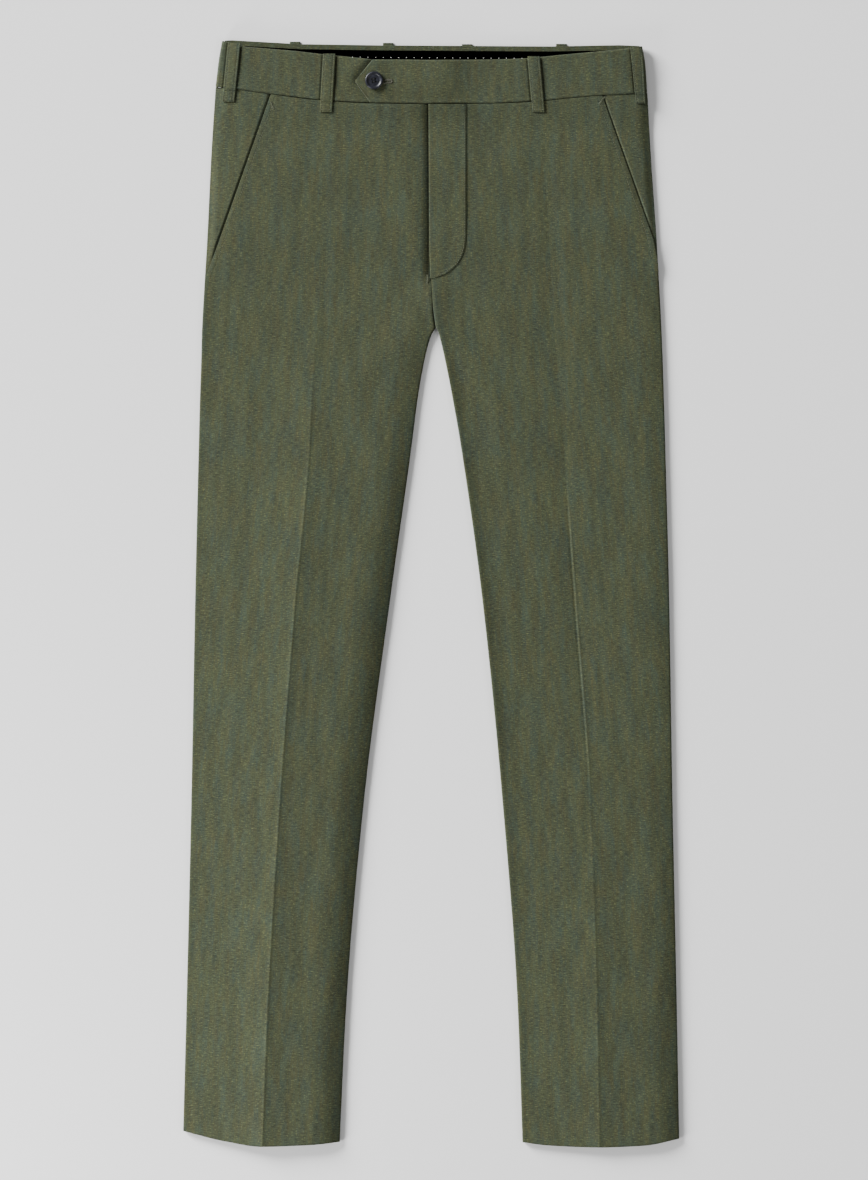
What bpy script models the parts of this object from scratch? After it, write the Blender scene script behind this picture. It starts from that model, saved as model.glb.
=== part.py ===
"""Wool dress trousers, laid flat on their back with the front up.

Sizes are in millimetres. x runs across from the middle of the garment, with the
wearer's right leg at negative x. "down" is the distance below the top edge of the
waistband, and z is the height above the surface that the trousers lie on.
Each sewn piece is a closed solid of cloth with a real wall.
"""

import math

import bmesh
import bpy

# ---------------------------------------------------------------- real sizes

LENGTH = 1107.4  # waistband top to the lowest point of the hems
WALL = 1.2  # one layer of the wool cloth
GAP = 0.3  # between two pieces at a seam
STACK = 5.2  # height of a leg folded flat, two walls and the air between
FOLD = STACK / 2  # radius of the soft fold along a leg's edge
UNDER_LOOPS = 1.7  # the back of the waist lies this high, on its belt loops
WAIST_LIFT = 1.15  # how far the front of the waist rises over the back
LIFT_REACH = 35.0  # it rises over this much of the width
LIFT_ENDS = (90.0, 250.0)  # and is lost between these rows
LOOPS_END = (64.0, 94.0)  # the back comes down off its loops between these rows
SEAM_CLEARANCE = 1.3 * GAP  # from the waist seam to a panel's upper edge

BAND = 2.6  # thickness of the interfaced waistband
BAND_FOLD = 2.9  # outer radius where the waistband turns round the side
BAND_FRONT = 8.6  # top face of the front waistband
BAND_RISE = 22.0  # it rises to that over this much of its length
TAB_FACE = 11.5  # top face of the tab, which lies on the other waistband end
TAB_ENDS = 8.0  # x at which the tab starts to come down to the waistband
TAB_SETTLES = 45.0  # x at which it has come down
LINING = 1.0
LINING_HALF_WIDTH = 186.0
LINING_BELOW_EDGE = 5.2  # cloth showing above the lining, inside the back
LINING_END = 47.0

BACK_LOOP_WIDTH = 10.6
LOOP = 1.4
LOOP_CORNER = 0.4
LOOP_CLEARANCE = 1.4 * GAP
LOOP_ARCH = 0.9  # a front loop stands off the waistband this much in the middle
FLY = 1.2
FLY_COLUMNS = 7
FACING = 0.9  # a pocket facing's wall, thinner where it rolls over the side
FACING_BELOW = 1.5  # it lies this far under the front's face
FACING_TUCK = 5.0  # and runs this far under the slanted edge

BUTTON_RADIUS = 9.0
BUTTON_PLACE = (-56.9, 41.0)  # x and down
HOLE_RADIUS = 0.95
HOLE_SPREAD = 1.95

CROTCH = 287.6
# The centre seam, which both legs share as far as the crotch: (down, x).
CENTRE_SEAM = ((47.0, 2.0), (200.0, 0.8), (240.0, 0.3), (270.0, 2.2), (CROTCH, 4.7))
# Edges and crease of both legs, wearer's right first.
LEG_COLUMNS = ("down", "side_r", "crease_r", "inner_r", "inner_l", "crease_l", "side_l")
LEG = (
    (47.0, -215.4, -109.0, 2.0, 2.0, 114.0, 216.1),
    (110.0, -219.6, -110.0, 1.6, 1.6, 114.0, 219.6),
    (200.0, -224.0, -111.0, 0.8, 0.8, 118.0, 225.7),
    (240.0, -226.4, -112.3, 0.3, 0.3, 120.5, 228.0),
    (270.0, -228.2, -113.2, 2.2, 2.2, 122.3, 229.6),
    (CROTCH, -229.1, -114.0, 4.7, 4.7, 123.2, 230.5),
    (292.0, -229.3, -114.6, 2.0, 7.0, 123.4, 230.7),
    (300.0, -229.5, -115.4, -1.3, 9.3, 124.0, 231.0),
    (320.0, -230.0, -116.7, -6.4, 13.9, 125.6, 231.8),
    (360.0, -231.3, -119.4, -13.4, 21.7, 129.2, 233.1),
    (410.0, -232.6, -121.6, -19.8, 30.3, 133.0, 234.5),
    (560.0, -236.1, -135.5, -40.8, 51.2, 144.0, 238.3),
    (760.0, -239.9, -150.9, -66.8, 71.2, 159.0, 241.6),
    (960.0, -244.6, -162.9, -84.3, 86.2, 166.0, 245.8),
    (1106.0, -248.4, -168.7, -91.4, 91.4, 168.5, 248.4),
)

# Height of the pressed crease over the flat of the leg: (down, rise).
CREASE_RISE = {
    "r": ((250.0, 0.0), (340.0, 2.0), (450.0, 5.0), (600.0, 6.8), (1106.0, 6.8)),
    "l": (
        (90.0, 0.0),
        (150.0, -1.0),
        (600.0, -1.0),
        (690.0, 0.0),
        (800.0, 1.2),
        (900.0, 2.8),
        (1106.0, 4.2),
    ),
}

# The half left of a crease slopes evenly. The half right of it falls a little from the
# crease, stays level and rounds over to the leg's edge.
CREASE_SLOPE = 0.65
ROUND_FALL = 0.28
ROUND_SETTLES = 18.0
ROUND_REACH = 34.0

# The slanted pocket mouths: (down, x).
SLANT = {
    "r": ((53.0, -159.5), (65.0, -163.8), (213.0, -216.2), (240.0, -226.4)),
    "l": ((53.0, 170.5), (66.8, 175.1), (200.0, 222.8), (222.0, 226.97)),
}

# Edges that run across: (x, down).
WAIST_SEAM = (
    (-216.0, 47.0),
    (-193.3, 49.3),
    (-162.4, 53.8),
    (-111.4, 60.2),
    (-60.4, 63.3),
    (0.0, 64.0),
    (67.6, 63.3),
    (113.8, 60.8),
    (142.5, 57.8),
    (174.4, 55.4),
    (217.0, 53.0),
)
BAND_TOP = {
    "r": (
        (-209.0, 0.6),
        (-190.3, 6.5),
        (-135.3, 11.2),
        (-108.2, 14.4),
        (-58.8, 19.5),
        (-26.0, 20.4),
        (8.0, 21.0),
    ),
    "l": (
        (-75.5, 40.8),
        (-58.6, 20.0),
        (-26.0, 20.0),
        (0.0, 20.4),
        (70.8, 19.5),
        (94.7, 18.5),
        (142.5, 13.9),
        (174.4, 11.0),
        (198.2, 8.5),
        (211.3, 6.0),
    ),
}
BAND_FOOT = {
    "r": WAIST_SEAM,
    "l": ((-75.5, 42.4), (-61.0, 63.0)) + WAIST_SEAM[5:],
}
BACK_TOP = (
    (-209.0, 0.6),
    (-201.0, 0.0),
    (-171.0, 1.7),
    (-131.0, 4.0),
    (-51.0, 5.2),
    (119.0, 6.3),
    (189.0, 5.0),
    (211.3, 6.0),
)
BACK_SEAM = ((-216.0, 47.0), (-100.0, 48.6), (3.0, 49.6), (100.0, 50.4), (217.0, 53.0))
# The waistband's fold at each side, from its top edge to its foot: (share, x).
BAND_SIDE = {
    "r": ((0.0, -209.0), (0.4, -212.3), (1.0, -215.6)),
    "l": ((0.0, 211.3), (0.4, 214.6), (1.0, 216.3)),
}
HEM = {
    "r": (
        (-248.4, 1091.0),
        (-237.0, 1094.1),
        (-205.0, 1101.6),
        (-169.5, 1106.5),
        (-117.0, 1104.7),
        (-91.4, 1102.2),
    ),
    "l": (
        (91.4, 1102.4),
        (117.0, 1105.6),
        (168.5, 1107.4),
        (213.0, 1105.7),
        (248.4, 1099.0),
    ),
}
# The fly: (down, left edge, J-shaped right edge).
FLY_ROWS = (
    (64.4, -2.5, 35.5),
    (105.0, -2.3, 35.5),
    (150.0, -2.0, 35.5),
    (190.0, -1.8, 35.4),
    (204.0, -1.7, 34.7),
    (214.0, -1.6, 32.3),
    (222.0, -1.2, 28.4),
    (228.5, -1.0, 22.6),
    (233.6, -0.8, 15.4),
    (236.8, -0.6, 7.0),
    (238.6, -0.5, 1.6),
)
# Belt loops: name, then x, down and width of the top end and of the bottom end. The
# one on the wearer's left side turns a little round the fold.
FRONT_LOOPS = (
    ("loop_front_r", (-101.5, 14.0, 12.1), (-105.0, 72.3, 12.1)),
    ("loop_front_l", (102.6, 16.6, 12.1), (107.7, 72.4, 12.1)),
    ("loop_side_r", (-196.6, 3.4, 12.4), (-202.6, 61.9, 12.1)),
    ("loop_side_l", (205.2, 6.6, 12.4), (209.8, 63.6, 9.6)),
)
BACK_LOOPS = (
    ("loop_back_outer_r", -136.0, 1.3),
    ("loop_back_inner_r", -42.8, 2.5),
    ("loop_back_inner_l", 36.2, 3.8),
    ("loop_back_outer_l", 130.5, 3.5),
)
BACK_LOOP_END = 60.0

# Rows down a leg panel, before the waist and hem bend them, and what the first
# and last of them stand for.
TOP_ROW = 60.0
LAST_ROW = 1106.0
ROWS = (
    (TOP_ROW, 76.0, 92.0, 110.0, 140.0, 170.0, 200.0, 222.0, 240.0, 256.0, 270.0)
    + (280.0, 287.6, 292.0, 300.0, 309.0, 320.0, 338.0, 360.0, 385.0, 410.0)
    + (460.0, 510.0, 560.0, 610.0, 660.0, 710.0, 760.0, 810.0, 860.0, 910.0)
    + (960.0, 1010.0, 1060.0, LAST_ROW)
)
# The rolled edge of a panel, from its rim to the flat: shares of the fold's radius
# across and down. It leaves its rim upright, so the wall inside stays level with it.
ROLL = ((0.0, 1.0), (0.03, 0.72), (0.16, 0.42), (0.46, 0.12), (1.0, 0.0))
FRONT_SHARES = (0.1, 0.22, 0.36, 0.52, 0.68, 0.82, 0.92)
BACK_SHARES = (0.2, 0.5, 0.8)
FACING_SHARES = (0.33, 0.66, 1.0)
FACING_STOPS = 2.0  # above the lower end of the pocket's mouth
FACING_LAST_ROW = 4.0  # its last row is at least this far from the one before
TOP_BEND = (60.0, 110.0)  # the waist bends the rows from the first of these, less and less
HEM_BEND = (960.0, 1106.0)  # and the hem those up to the second, more and more
FORK = (256.0, CROTCH)  # between these rows the centre seam becomes the leg's inner fold
SLANT_FOLD = 22.0  # below the pocket's mouth the edge turns down within this


# ------------------------------------------------------------------- helpers


def ease(t):
    t = min(max(t, 0.0), 1.0)
    return t * t * (3.0 - 2.0 * t)


def between(ends, x):
    """0 before the first of two ends, 1 after the second, and smooth from one to the other."""
    return ease((x - ends[0]) / (ends[1] - ends[0]))


def smooth_curve(points, x):
    """A value off a short table, by a curve that passes its points with no overshoot."""
    if x <= points[0][0]:
        return points[0][1]
    if x >= points[-1][0]:
        return points[-1][1]
    i = next(k for k in range(1, len(points)) if x <= points[k][0])
    slopes = [
        (b[1] - a[1]) / (b[0] - a[0]) for a, b in zip(points[:-1], points[1:])
    ]

    def tangent(k):
        if k == 0:
            return slopes[0]
        if k == len(points) - 1:
            return slopes[-1]
        a, b = slopes[k - 1], slopes[k]
        return 0.0 if a * b <= 0 else 2.0 * a * b / (a + b)

    (x0, y0), (x1, y1) = points[i - 1], points[i]
    h = x1 - x0
    t = (x - x0) / h
    return (
        (2 * t**3 - 3 * t**2 + 1) * y0
        + (t**3 - 2 * t**2 + t) * h * tangent(i - 1)
        + (3 * t**2 - 2 * t**3) * y1
        + (t**3 - t**2) * h * tangent(i)
    )


def straight(points, x):
    """The same, by straight lines, for edges with a corner in them."""
    if x <= points[0][0]:
        return points[0][1]
    for (x0, y0), (x1, y1) in zip(points[:-1], points[1:]):
        if x <= x1:
            return y0 + (y1 - y0) * (x - x0) / (x1 - x0)
    return points[-1][1]


LEG_CURVES = {
    name: tuple((row[0], row[k]) for row in LEG)
    for k, name in enumerate(LEG_COLUMNS)
    if k
}


def leg_x(which, side, down):
    if which == "inner" and down <= CROTCH:
        return smooth_curve(CENTRE_SEAM, down)
    return smooth_curve(LEG_CURVES[f"{which}_{side}"], down)


def outward(side):
    return -1.0 if side == "r" else 1.0


# ----------------------------------------------------- heights of the layers


def back_face(down):
    """Height of the back's outer face, which lies on the belt loops at the waist."""
    return UNDER_LOOPS * (1.0 - between(LOOPS_END, down))


def crease_shape(side, x, down):
    """Height that the pressed crease gives at this point."""
    crease = leg_x("crease", side, down)
    beyond = (x - crease) * outward(side) > 0.0
    half = abs(leg_x("side" if beyond else "inner", side, down) - crease)
    from_crease = min(abs(x - crease), half)
    t = 1.0 - from_crease / half
    rise = smooth_curve(CREASE_RISE[side], down)
    if rise <= 0.0:
        return rise * t**5
    if beyond == (side == "r"):
        return rise * (CREASE_SLOPE * t + (1.0 - CREASE_SLOPE) * t**3)
    settled = 1.0 - ROUND_FALL * (1.0 - math.exp(-from_crease / ROUND_SETTLES))
    near_edge = max(0.0, 1.0 - (half - from_crease) / ROUND_REACH)
    return rise * settled * (1.0 - near_edge**2)


def front_face(side, x, down):
    """Height of the front's outer face away from its folded edges."""
    from_side = abs(leg_x("side", side, down) - x)
    lift = WAIST_LIFT * ease(from_side / LIFT_REACH) * (1.0 - between(LIFT_ENDS, down))
    return back_face(down) + STACK + lift + crease_shape(side, x, down)


def band_face(side, x, share):
    """Height of the front waistband's outer face."""
    fold = straight(BAND_SIDE[side], share)
    inside = (fold - x) * outward(side)
    middle = UNDER_LOOPS + BAND_FOLD
    if inside < BAND_FOLD:
        reach = BAND_FOLD - max(inside, 0.0)
        return middle + math.sqrt(max(BAND_FOLD**2 - reach**2, 0.0))
    flat = middle + BAND_FOLD
    height = flat + (BAND_FRONT - flat) * ease((inside - BAND_FOLD) / BAND_RISE)
    if side == "l":
        height += (TAB_FACE - BAND_FRONT) * (1.0 - between((TAB_ENDS, TAB_SETTLES), x))
    return height


# ------------------------------------------------------------------ building

# Finishes: colour, roughness.
FINISHES = {
    "wool": ((0.087, 0.098, 0.058, 1.0), 0.9),
    "lining": ((0.006, 0.006, 0.006, 1.0), 0.8),
    "button": ((0.02, 0.023, 0.03, 1.0), 0.35),
}


def material(name):
    """A plain finish, made once and shared by the pieces of one cloth."""
    if name in bpy.data.materials:
        return bpy.data.materials[name]
    colour, roughness = FINISHES[name]
    made = bpy.data.materials.new(name)
    made.use_nodes = True
    shader = made.node_tree.nodes["Principled BSDF"]
    shader.inputs["Base Color"].default_value = colour
    shader.inputs["Roughness"].default_value = roughness
    shader.inputs["Metallic"].default_value = 0.0
    return made


def collection(name):
    if name not in bpy.data.collections:
        bpy.context.scene.collection.children.link(bpy.data.collections.new(name))
    return bpy.data.collections[name]


def place(x, down, z):
    return (x / 1000.0, (LENGTH / 2.0 - down) / 1000.0, z / 1000.0)


def add_object(name, bm, finish="wool", group="trousers"):
    mesh = bpy.data.meshes.new(name)
    bm.to_mesh(mesh)
    bm.free()
    mesh.materials.append(material(finish))
    obj = bpy.data.objects.new(name, mesh)
    collection(group).objects.link(obj)
    obj.parent = bpy.data.objects.get("laid_on_its_back")
    return obj


def cloth(name, outer, inner, finish="wool"):
    """A piece of cloth between two grids of points, its outer face and its inside."""
    bm = bmesh.new()
    grids = [
        [[bm.verts.new(place(*point)) for point in row] for row in layer]
        for layer in (outer, inner)
    ]
    last_row, last_column = len(outer) - 1, len(outer[0]) - 1
    for grid in grids:
        for a, b in zip(grid[:-1], grid[1:]):
            for j in range(last_column):
                bm.faces.new((a[j], a[j + 1], b[j + 1], b[j]))
    face, inside = grids
    for i in (0, last_row):
        for j in range(last_column):
            bm.faces.new((face[i][j], face[i][j + 1], inside[i][j + 1], inside[i][j]))
    for j in (0, last_column):
        for i in range(last_row):
            bm.faces.new((face[i][j], face[i + 1][j], inside[i + 1][j], inside[i][j]))
    bmesh.ops.recalc_face_normals(bm, faces=bm.faces)
    obj = add_object(name, bm, finish)
    obj.data.shade_smooth()
    obj.data.set_sharp_from_angle(angle=math.radians(50.0))
    return obj


def under(face, wall):
    """The inside of a flat piece: its outer points, moved down by the wall."""
    return [[(x, down, z - wall) for x, down, z in line] for line in face]


def lofted(name, sections):
    """A closed body through rings of points, with flat ends."""
    bm = bmesh.new()
    rings = [[bm.verts.new(place(*point)) for point in ring] for ring in sections]
    count = len(rings[0])
    for a, b in zip(rings[:-1], rings[1:]):
        for j in range(count):
            k = (j + 1) % count
            bm.faces.new((a[j], a[k], b[k], b[j]))
    bm.faces.new(rings[0])
    bm.faces.new(rings[-1])
    bmesh.ops.recalc_face_normals(bm, faces=bm.faces)
    return add_object(name, bm)


# -------------------------------------------------------------------- panels


def bent_row(side, row, x, top_edge):
    """Where a row lies at this x, with the waist and hem bending the rows near them."""
    near_top = 1.0 - between(TOP_BEND, row)
    near_hem = between(HEM_BEND, row)
    at_top = smooth_curve(top_edge, x) + SEAM_CLEARANCE
    at_hem = smooth_curve(HEM[side], x)
    return row + (at_top - TOP_ROW) * near_top + (at_hem - LAST_ROW) * near_hem


def fold_share(side, row, which):
    """How far the cloth turns down at this edge: 0 lies flat, 1 is the leg's fold."""
    if which == "inner":
        return between(FORK, row)
    if which == "back_side":
        return 1.0
    return ease((row - SLANT[side][-1][0]) / SLANT_FOLD)


def panel_edge(side, row, which, top_edge):
    """x of a panel's edge: the side seam or pocket slant, or the centre seam or inseam."""
    if which == "inner":
        down = bent_row(side, row, leg_x("inner", side, row), top_edge)
        x = leg_x("inner", side, down)
        return x + outward(side) * 0.5 * GAP
    down = bent_row(side, row, leg_x("side", side, row), top_edge)
    if which == "side" and row < SLANT[side][-1][0]:
        down = bent_row(side, row, straight(SLANT[side], down), top_edge)
        return straight(SLANT[side], down)
    return leg_x("side", side, down)


def rolled(edge, flat_to, radius, fold, wall, shares):
    """Points from a rolled edge to the flat: x, turn-down, and the wall's x and z there."""
    inwards = math.copysign(1.0, flat_to - edge)
    points = [
        (
            edge + inwards * radius * across,
            fold * radius * drop,
            inwards * wall * fold * (1.0 - across),
            wall * (1.0 - fold * drop),
        )
        for across, drop in ROLL
    ]
    flat_from = points[-1][0]
    points += [(flat_from + (flat_to - flat_from) * share, 0.0, 0.0, wall) for share in shares]
    return points


def panel_row(side, row, front):
    """One row of a front or back panel, from its side to its inner edge: face and inside."""
    top_edge = WAIST_SEAM if front else BACK_SEAM
    shares = FRONT_SHARES if front else BACK_SHARES
    outer_edge = "side" if front else "back_side"
    outer = panel_edge(side, row, outer_edge, top_edge)
    inner = panel_edge(side, row, "inner", top_edge)
    crease = leg_x("crease", side, row)
    outer_fold = fold_share(side, row, outer_edge)
    inner_fold = fold_share(side, row, "inner")
    points = rolled(outer, crease, FOLD, outer_fold, WALL, shares)
    points.append((crease, 0.0, 0.0, WALL))
    points += reversed(rolled(inner, crease, FOLD, inner_fold, WALL, shares))
    face, inside = [], []
    for x, turned, wall_x, wall_z in points:
        down = bent_row(side, row, x, top_edge)
        turned *= 1.0 - 0.5 * GAP / FOLD
        if front:
            z = front_face(side, x, down) - turned
            inner_z = z - wall_z
        else:
            z = back_face(down) + turned
            inner_z = z + wall_z
        face.append((x, down, z))
        inside.append((x + wall_x, down, inner_z))
    return face, inside


def panel(name, side, front):
    rows = [panel_row(side, row, front) for row in ROWS]
    cloth(name, [face for face, _ in rows], [inside for _, inside in rows])


def pocket_facing(side):
    """The side piece that shows outside the slanted mouth and runs under its edge."""
    end = SLANT[side][-1][0] - FACING_STOPS
    rows = [row for row in ROWS if row < end - FACING_LAST_ROW] + [end]
    depth = STACK - FACING_BELOW - FOLD - 0.5 * GAP
    face, inside = [], []
    for row in rows:
        down = bent_row(side, row, leg_x("side", side, row), WAIST_SEAM)
        edge = leg_x("side", side, down)
        tucked = straight(SLANT[side], down) - outward(side) * FACING_TUCK
        line, inner_line = [], []
        for x, turned, wall_x, wall_z in rolled(edge, tucked, depth, 1.0, FACING, FACING_SHARES):
            at = bent_row(side, row, x, WAIST_SEAM)
            z = front_face(side, x, at) - FACING_BELOW - turned
            line.append((x, at, z))
            inner_line.append((x + wall_x, at, z - wall_z))
        face.append(line)
        inside.append(inner_line)
    cloth(f"pocket_facing_{side}", face, inside)


def fly():
    """The J-shaped fly, over the centre seam."""
    face = []
    for down, left, right in FLY_ROWS:
        line = []
        for k in range(FLY_COLUMNS):
            x = left + (right - left) * k / (FLY_COLUMNS - 1.0)
            side = "r" if x < leg_x("inner", "r", down) else "l"
            line.append((x, down, front_face(side, x, down) + GAP + FLY))
        face.append(line)
    cloth("fly", face, under(face, FLY))


# ----------------------------------------------------------------- waistband

# The waistband's section, round its edge: (share of its height, depth from its face).
BAND_SECTION = (
    (0.0, 0.8),
    (0.015, 0.15),
    (0.03, 0.0),
    (0.4, 0.0),
    (0.97, 0.0),
    (0.99, 0.2),
    (1.0, 0.7),
    (1.0, BAND - 0.6),
    (0.985, BAND),
    (0.4, BAND),
    (0.015, BAND),
    (0.0, BAND - 0.7),
)


def band_stations(side):
    """Shares of the front from its end to the side fold."""
    near_fold = [0.9, 0.93, 0.955, 0.98, 1.0]
    if side == "r":
        return [0.86 * k / 9.0 for k in range(10)] + near_fold
    near_point = [0.0, 0.006, 0.02, 0.037, 0.055]
    return near_point + [0.09 + 0.78 * k / 13.0 for k in range(14)] + near_fold


def waistband(side):
    """One half, from its end at the centre front, round the side, to the centre back."""
    end = 6.0 if side == "r" else -75.5
    centre_back = leg_x("inner", side, 50.0) + outward(side) * 0.5 * GAP
    middle = UNDER_LOOPS + BAND_FOLD
    rings = []
    for station in band_stations(side):
        ring = []
        for share, depth in BAND_SECTION:
            fold = straight(BAND_SIDE[side], share)
            x = end + (fold - outward(side) * BAND_FOLD - end) * station
            top = straight(BAND_TOP[side], x)
            foot = straight(BAND_FOOT[side], x)
            z = band_face(side, x, share) - depth
            ring.append((x, top + (foot - top) * share, z))
        rings.append(ring)
    for degrees in (60.0, 30.0, 0.0, -30.0, -60.0):
        angle = math.radians(degrees)
        ring = []
        for share, depth in BAND_SECTION:
            fold = straight(BAND_SIDE[side], share)
            centre = fold - outward(side) * BAND_FOLD
            radius = BAND_FOLD - depth
            x = centre + outward(side) * radius * math.cos(angle)
            top = straight(BAND_TOP[side], x)
            foot = straight(BAND_FOOT[side], x)
            z = middle + radius * math.sin(angle)
            ring.append((x, top + (foot - top) * share, z))
        rings.append(ring)
    for k in range(11):
        station = k / 10.0
        ring = []
        for share, depth in BAND_SECTION:
            fold = straight(BAND_SIDE[side], share) - outward(side) * BAND_FOLD
            x = fold + (centre_back - fold) * station
            top = straight(BACK_TOP, x)
            foot = straight(BACK_SEAM, x)
            ring.append((x, top + (foot - top) * share, UNDER_LOOPS + depth))
        rings.append(ring)
    name = "waistband_right" if side == "r" else "waistband_left"
    lofted(name, rings)


def lining():
    """The dark lining inside the back of the waistband."""
    top_face = UNDER_LOOPS + BAND + GAP + LINING
    face = []
    for share in (0.0, 0.2, 0.6, 1.0):
        line = []
        for k in range(25):
            x = LINING_HALF_WIDTH * (k / 12.0 - 1.0)
            top = straight(BACK_TOP, x) + LINING_BELOW_EDGE
            line.append((x, top + (LINING_END - top) * share, top_face))
        face.append(line)
    cloth("waistband_lining", face, under(face, LINING), "lining")


# --------------------------------------------------------------------- loops


def loop_section(half_width, thickness, steps):
    """Across a belt loop: (offset across, height over what it lies on)."""
    c = LOOP_CORNER
    flat = half_width - c
    across = [flat * (2.0 * k / steps - 1.0) for k in range(steps + 1)]
    return (
        [(-half_width, c)]
        + [(x, 0.0) for x in across]
        + [(half_width, c), (half_width, thickness - c)]
        + [(x, thickness) for x in reversed(across)]
        + [(-half_width, thickness - c)]
    )


def front_loop(name, top, bottom):
    """A belt loop over the waistband, sewn to the front below the waist seam."""
    side = "r" if top[0] < 0.0 else "l"
    (top_x, top_down, top_width), (bottom_x, bottom_down, bottom_width) = top, bottom
    seam = smooth_curve(WAIST_SEAM, 0.5 * (top_x + bottom_x))
    stations = [top_down + (seam - 1.5 - top_down) * k / 5.0 for k in range(6)]
    stations += [seam + 1.2, seam + 3.4, 0.5 * (seam + 3.4 + bottom_down), bottom_down]
    rings = []
    for k, down in enumerate(stations):
        share = (down - top_down) / (bottom_down - top_down)
        centre = top_x + (bottom_x - top_x) * share
        half_width = 0.5 * (top_width + (bottom_width - top_width) * share)
        band_share = min((down - top_down) / (seam - top_down), 1.0)
        arch = LOOP_ARCH * math.sin(math.pi * min(k / 5.0, 1.0)) ** 2
        ring = []
        for across, height in loop_section(half_width, LOOP, 5):
            x = centre + across
            if k <= 6:
                base = band_face(side, x, band_share)
            else:
                base = front_face(side, x, down)
            ring.append((x, down, base + LOOP_CLEARANCE + arch + height))
        rings.append(ring)
    lofted(name, rings)


def back_loop(name, x, top_down):
    """A belt loop under the back, standing a little over the waistband's edge."""
    rings = []
    for k in range(5):
        down = top_down + (BACK_LOOP_END - top_down) * k / 4.0
        rings.append(
            [
                (x + across, down, height)
                for across, height in loop_section(0.5 * BACK_LOOP_WIDTH, LOOP, 1)
            ]
        )
    lofted(name, rings)


# -------------------------------------------------------------------- button

# The button's turned profile, down its outer side from top to bottom: radius, height.
BUTTON_PROFILE = (
    (0.0, 1.8),
    (4.6, 1.8),
    (5.6, 1.6),
    (6.4, 2.1),
    (7.4, 2.75),
    (8.3, 2.6),
    (8.85, 2.0),
    (BUTTON_RADIUS, 1.3),
    (8.7, 0.6),
    (7.6, 0.1),
    (6.4, 0.0),
    (0.0, 0.0),
)
BUTTON_STEPS = 36
HOLE_STEPS = 12
HOLE_TURN = 55.0  # degrees from +X to the first of the four holes


def button():
    """A sew-through button, turned from its profile, with four holes cut in it."""
    x, down = BUTTON_PLACE
    spot = place(x, down, TAB_FACE + GAP)
    bm = bmesh.new()
    points = [bm.verts.new((r / 1000.0, 0.0, z / 1000.0)) for r, z in BUTTON_PROFILE]
    for a, b in zip(points[:-1], points[1:]):
        bm.edges.new((a, b))
    body = add_object("button", bm, "button")
    body.location = spot
    turn = body.modifiers.new("turn", "SCREW")
    turn.steps = turn.render_steps = BUTTON_STEPS
    turn.use_merge_vertices = True
    turn.merge_threshold = 0.00005
    for k in range(4):
        angle = math.radians(HOLE_TURN + 90.0 * k)
        bm = bmesh.new()
        bmesh.ops.create_cone(
            bm,
            cap_ends=True,
            segments=HOLE_STEPS,
            radius1=HOLE_RADIUS / 1000.0,
            radius2=HOLE_RADIUS / 1000.0,
            depth=0.01,
        )
        cutter = add_object(f"button_hole_{k + 1}", bm, "button", "cutters")
        reach = HOLE_SPREAD / 1000.0
        cutter.location = (
            spot[0] + reach * math.cos(angle),
            spot[1] + reach * math.sin(angle),
            spot[2],
        )
        cutter.hide_render = True
        cutter.display_type = "WIRE"
        hole = body.modifiers.new(cutter.name, "BOOLEAN")
        hole.operation = "DIFFERENCE"
        hole.object = cutter


# ---------------------------------------------------------------------- main


def main():
    for obj in list(bpy.data.objects):
        bpy.data.objects.remove(obj)
    carrier = bpy.data.objects.new("laid_on_its_back", None)
    collection("trousers").objects.link(carrier)
    panel("front_right", "r", True)
    panel("front_left", "l", True)
    panel("back_right", "r", False)
    panel("back_left", "l", False)
    for side in ("r", "l"):
        pocket_facing(side)
        waistband(side)
    fly()
    lining()
    for loop in FRONT_LOOPS:
        front_loop(*loop)
    for loop in BACK_LOOPS:
        back_loop(*loop)
    button()


main()
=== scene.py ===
"""Wool dress trousers, laid flat on their back: the cloth, sewing and finishes.

Sizes in the tables are in millimetres. x runs across from the middle, with the wearer's
right leg at negative x, "down" is the distance below the top edge of the waistband, and
z is the height above the surface that the trousers lie on.
"""

import math
from functools import lru_cache

import bmesh
import bpy
from bpy.props import FloatProperty, FloatVectorProperty, PointerProperty
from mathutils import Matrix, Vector, noise


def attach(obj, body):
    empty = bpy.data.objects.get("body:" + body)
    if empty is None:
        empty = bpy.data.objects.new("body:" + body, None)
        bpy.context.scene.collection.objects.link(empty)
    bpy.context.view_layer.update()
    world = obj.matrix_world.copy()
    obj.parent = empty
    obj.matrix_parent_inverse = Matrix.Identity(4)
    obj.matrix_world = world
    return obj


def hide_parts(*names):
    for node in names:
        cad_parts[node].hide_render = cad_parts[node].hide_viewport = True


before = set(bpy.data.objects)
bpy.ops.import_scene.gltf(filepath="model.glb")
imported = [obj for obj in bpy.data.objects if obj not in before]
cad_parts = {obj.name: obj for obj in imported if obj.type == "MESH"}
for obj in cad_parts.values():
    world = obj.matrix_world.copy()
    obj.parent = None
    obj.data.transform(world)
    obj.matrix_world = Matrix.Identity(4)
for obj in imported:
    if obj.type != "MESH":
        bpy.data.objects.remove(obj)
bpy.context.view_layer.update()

bl_info = {
    "name": "Wool trousers",
    "version": (1, 0, 0),
    "blender": (4, 5, 0),
    "location": "3D View > Sidebar > Trousers",
    "description": "Cloth, sewing and finishes for a pair of wool dress trousers",
    "category": "Object",
}

MM = 0.001

# ---------------------------------------------------------------- real sizes

LENGTH = 1107.4  # waistband top to the lowest point of the hems
WALL = 1.2
GAP = 0.3
STACK = 5.2
FOLD = STACK / 2
UNDER_LOOPS = 1.7
WAIST_LIFT = 1.15
LIFT_REACH = 35.0
LIFT_ENDS = (90.0, 250.0)
LOOPS_END = (64.0, 94.0)
SEAM_CLEARANCE = 1.3 * GAP

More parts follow.
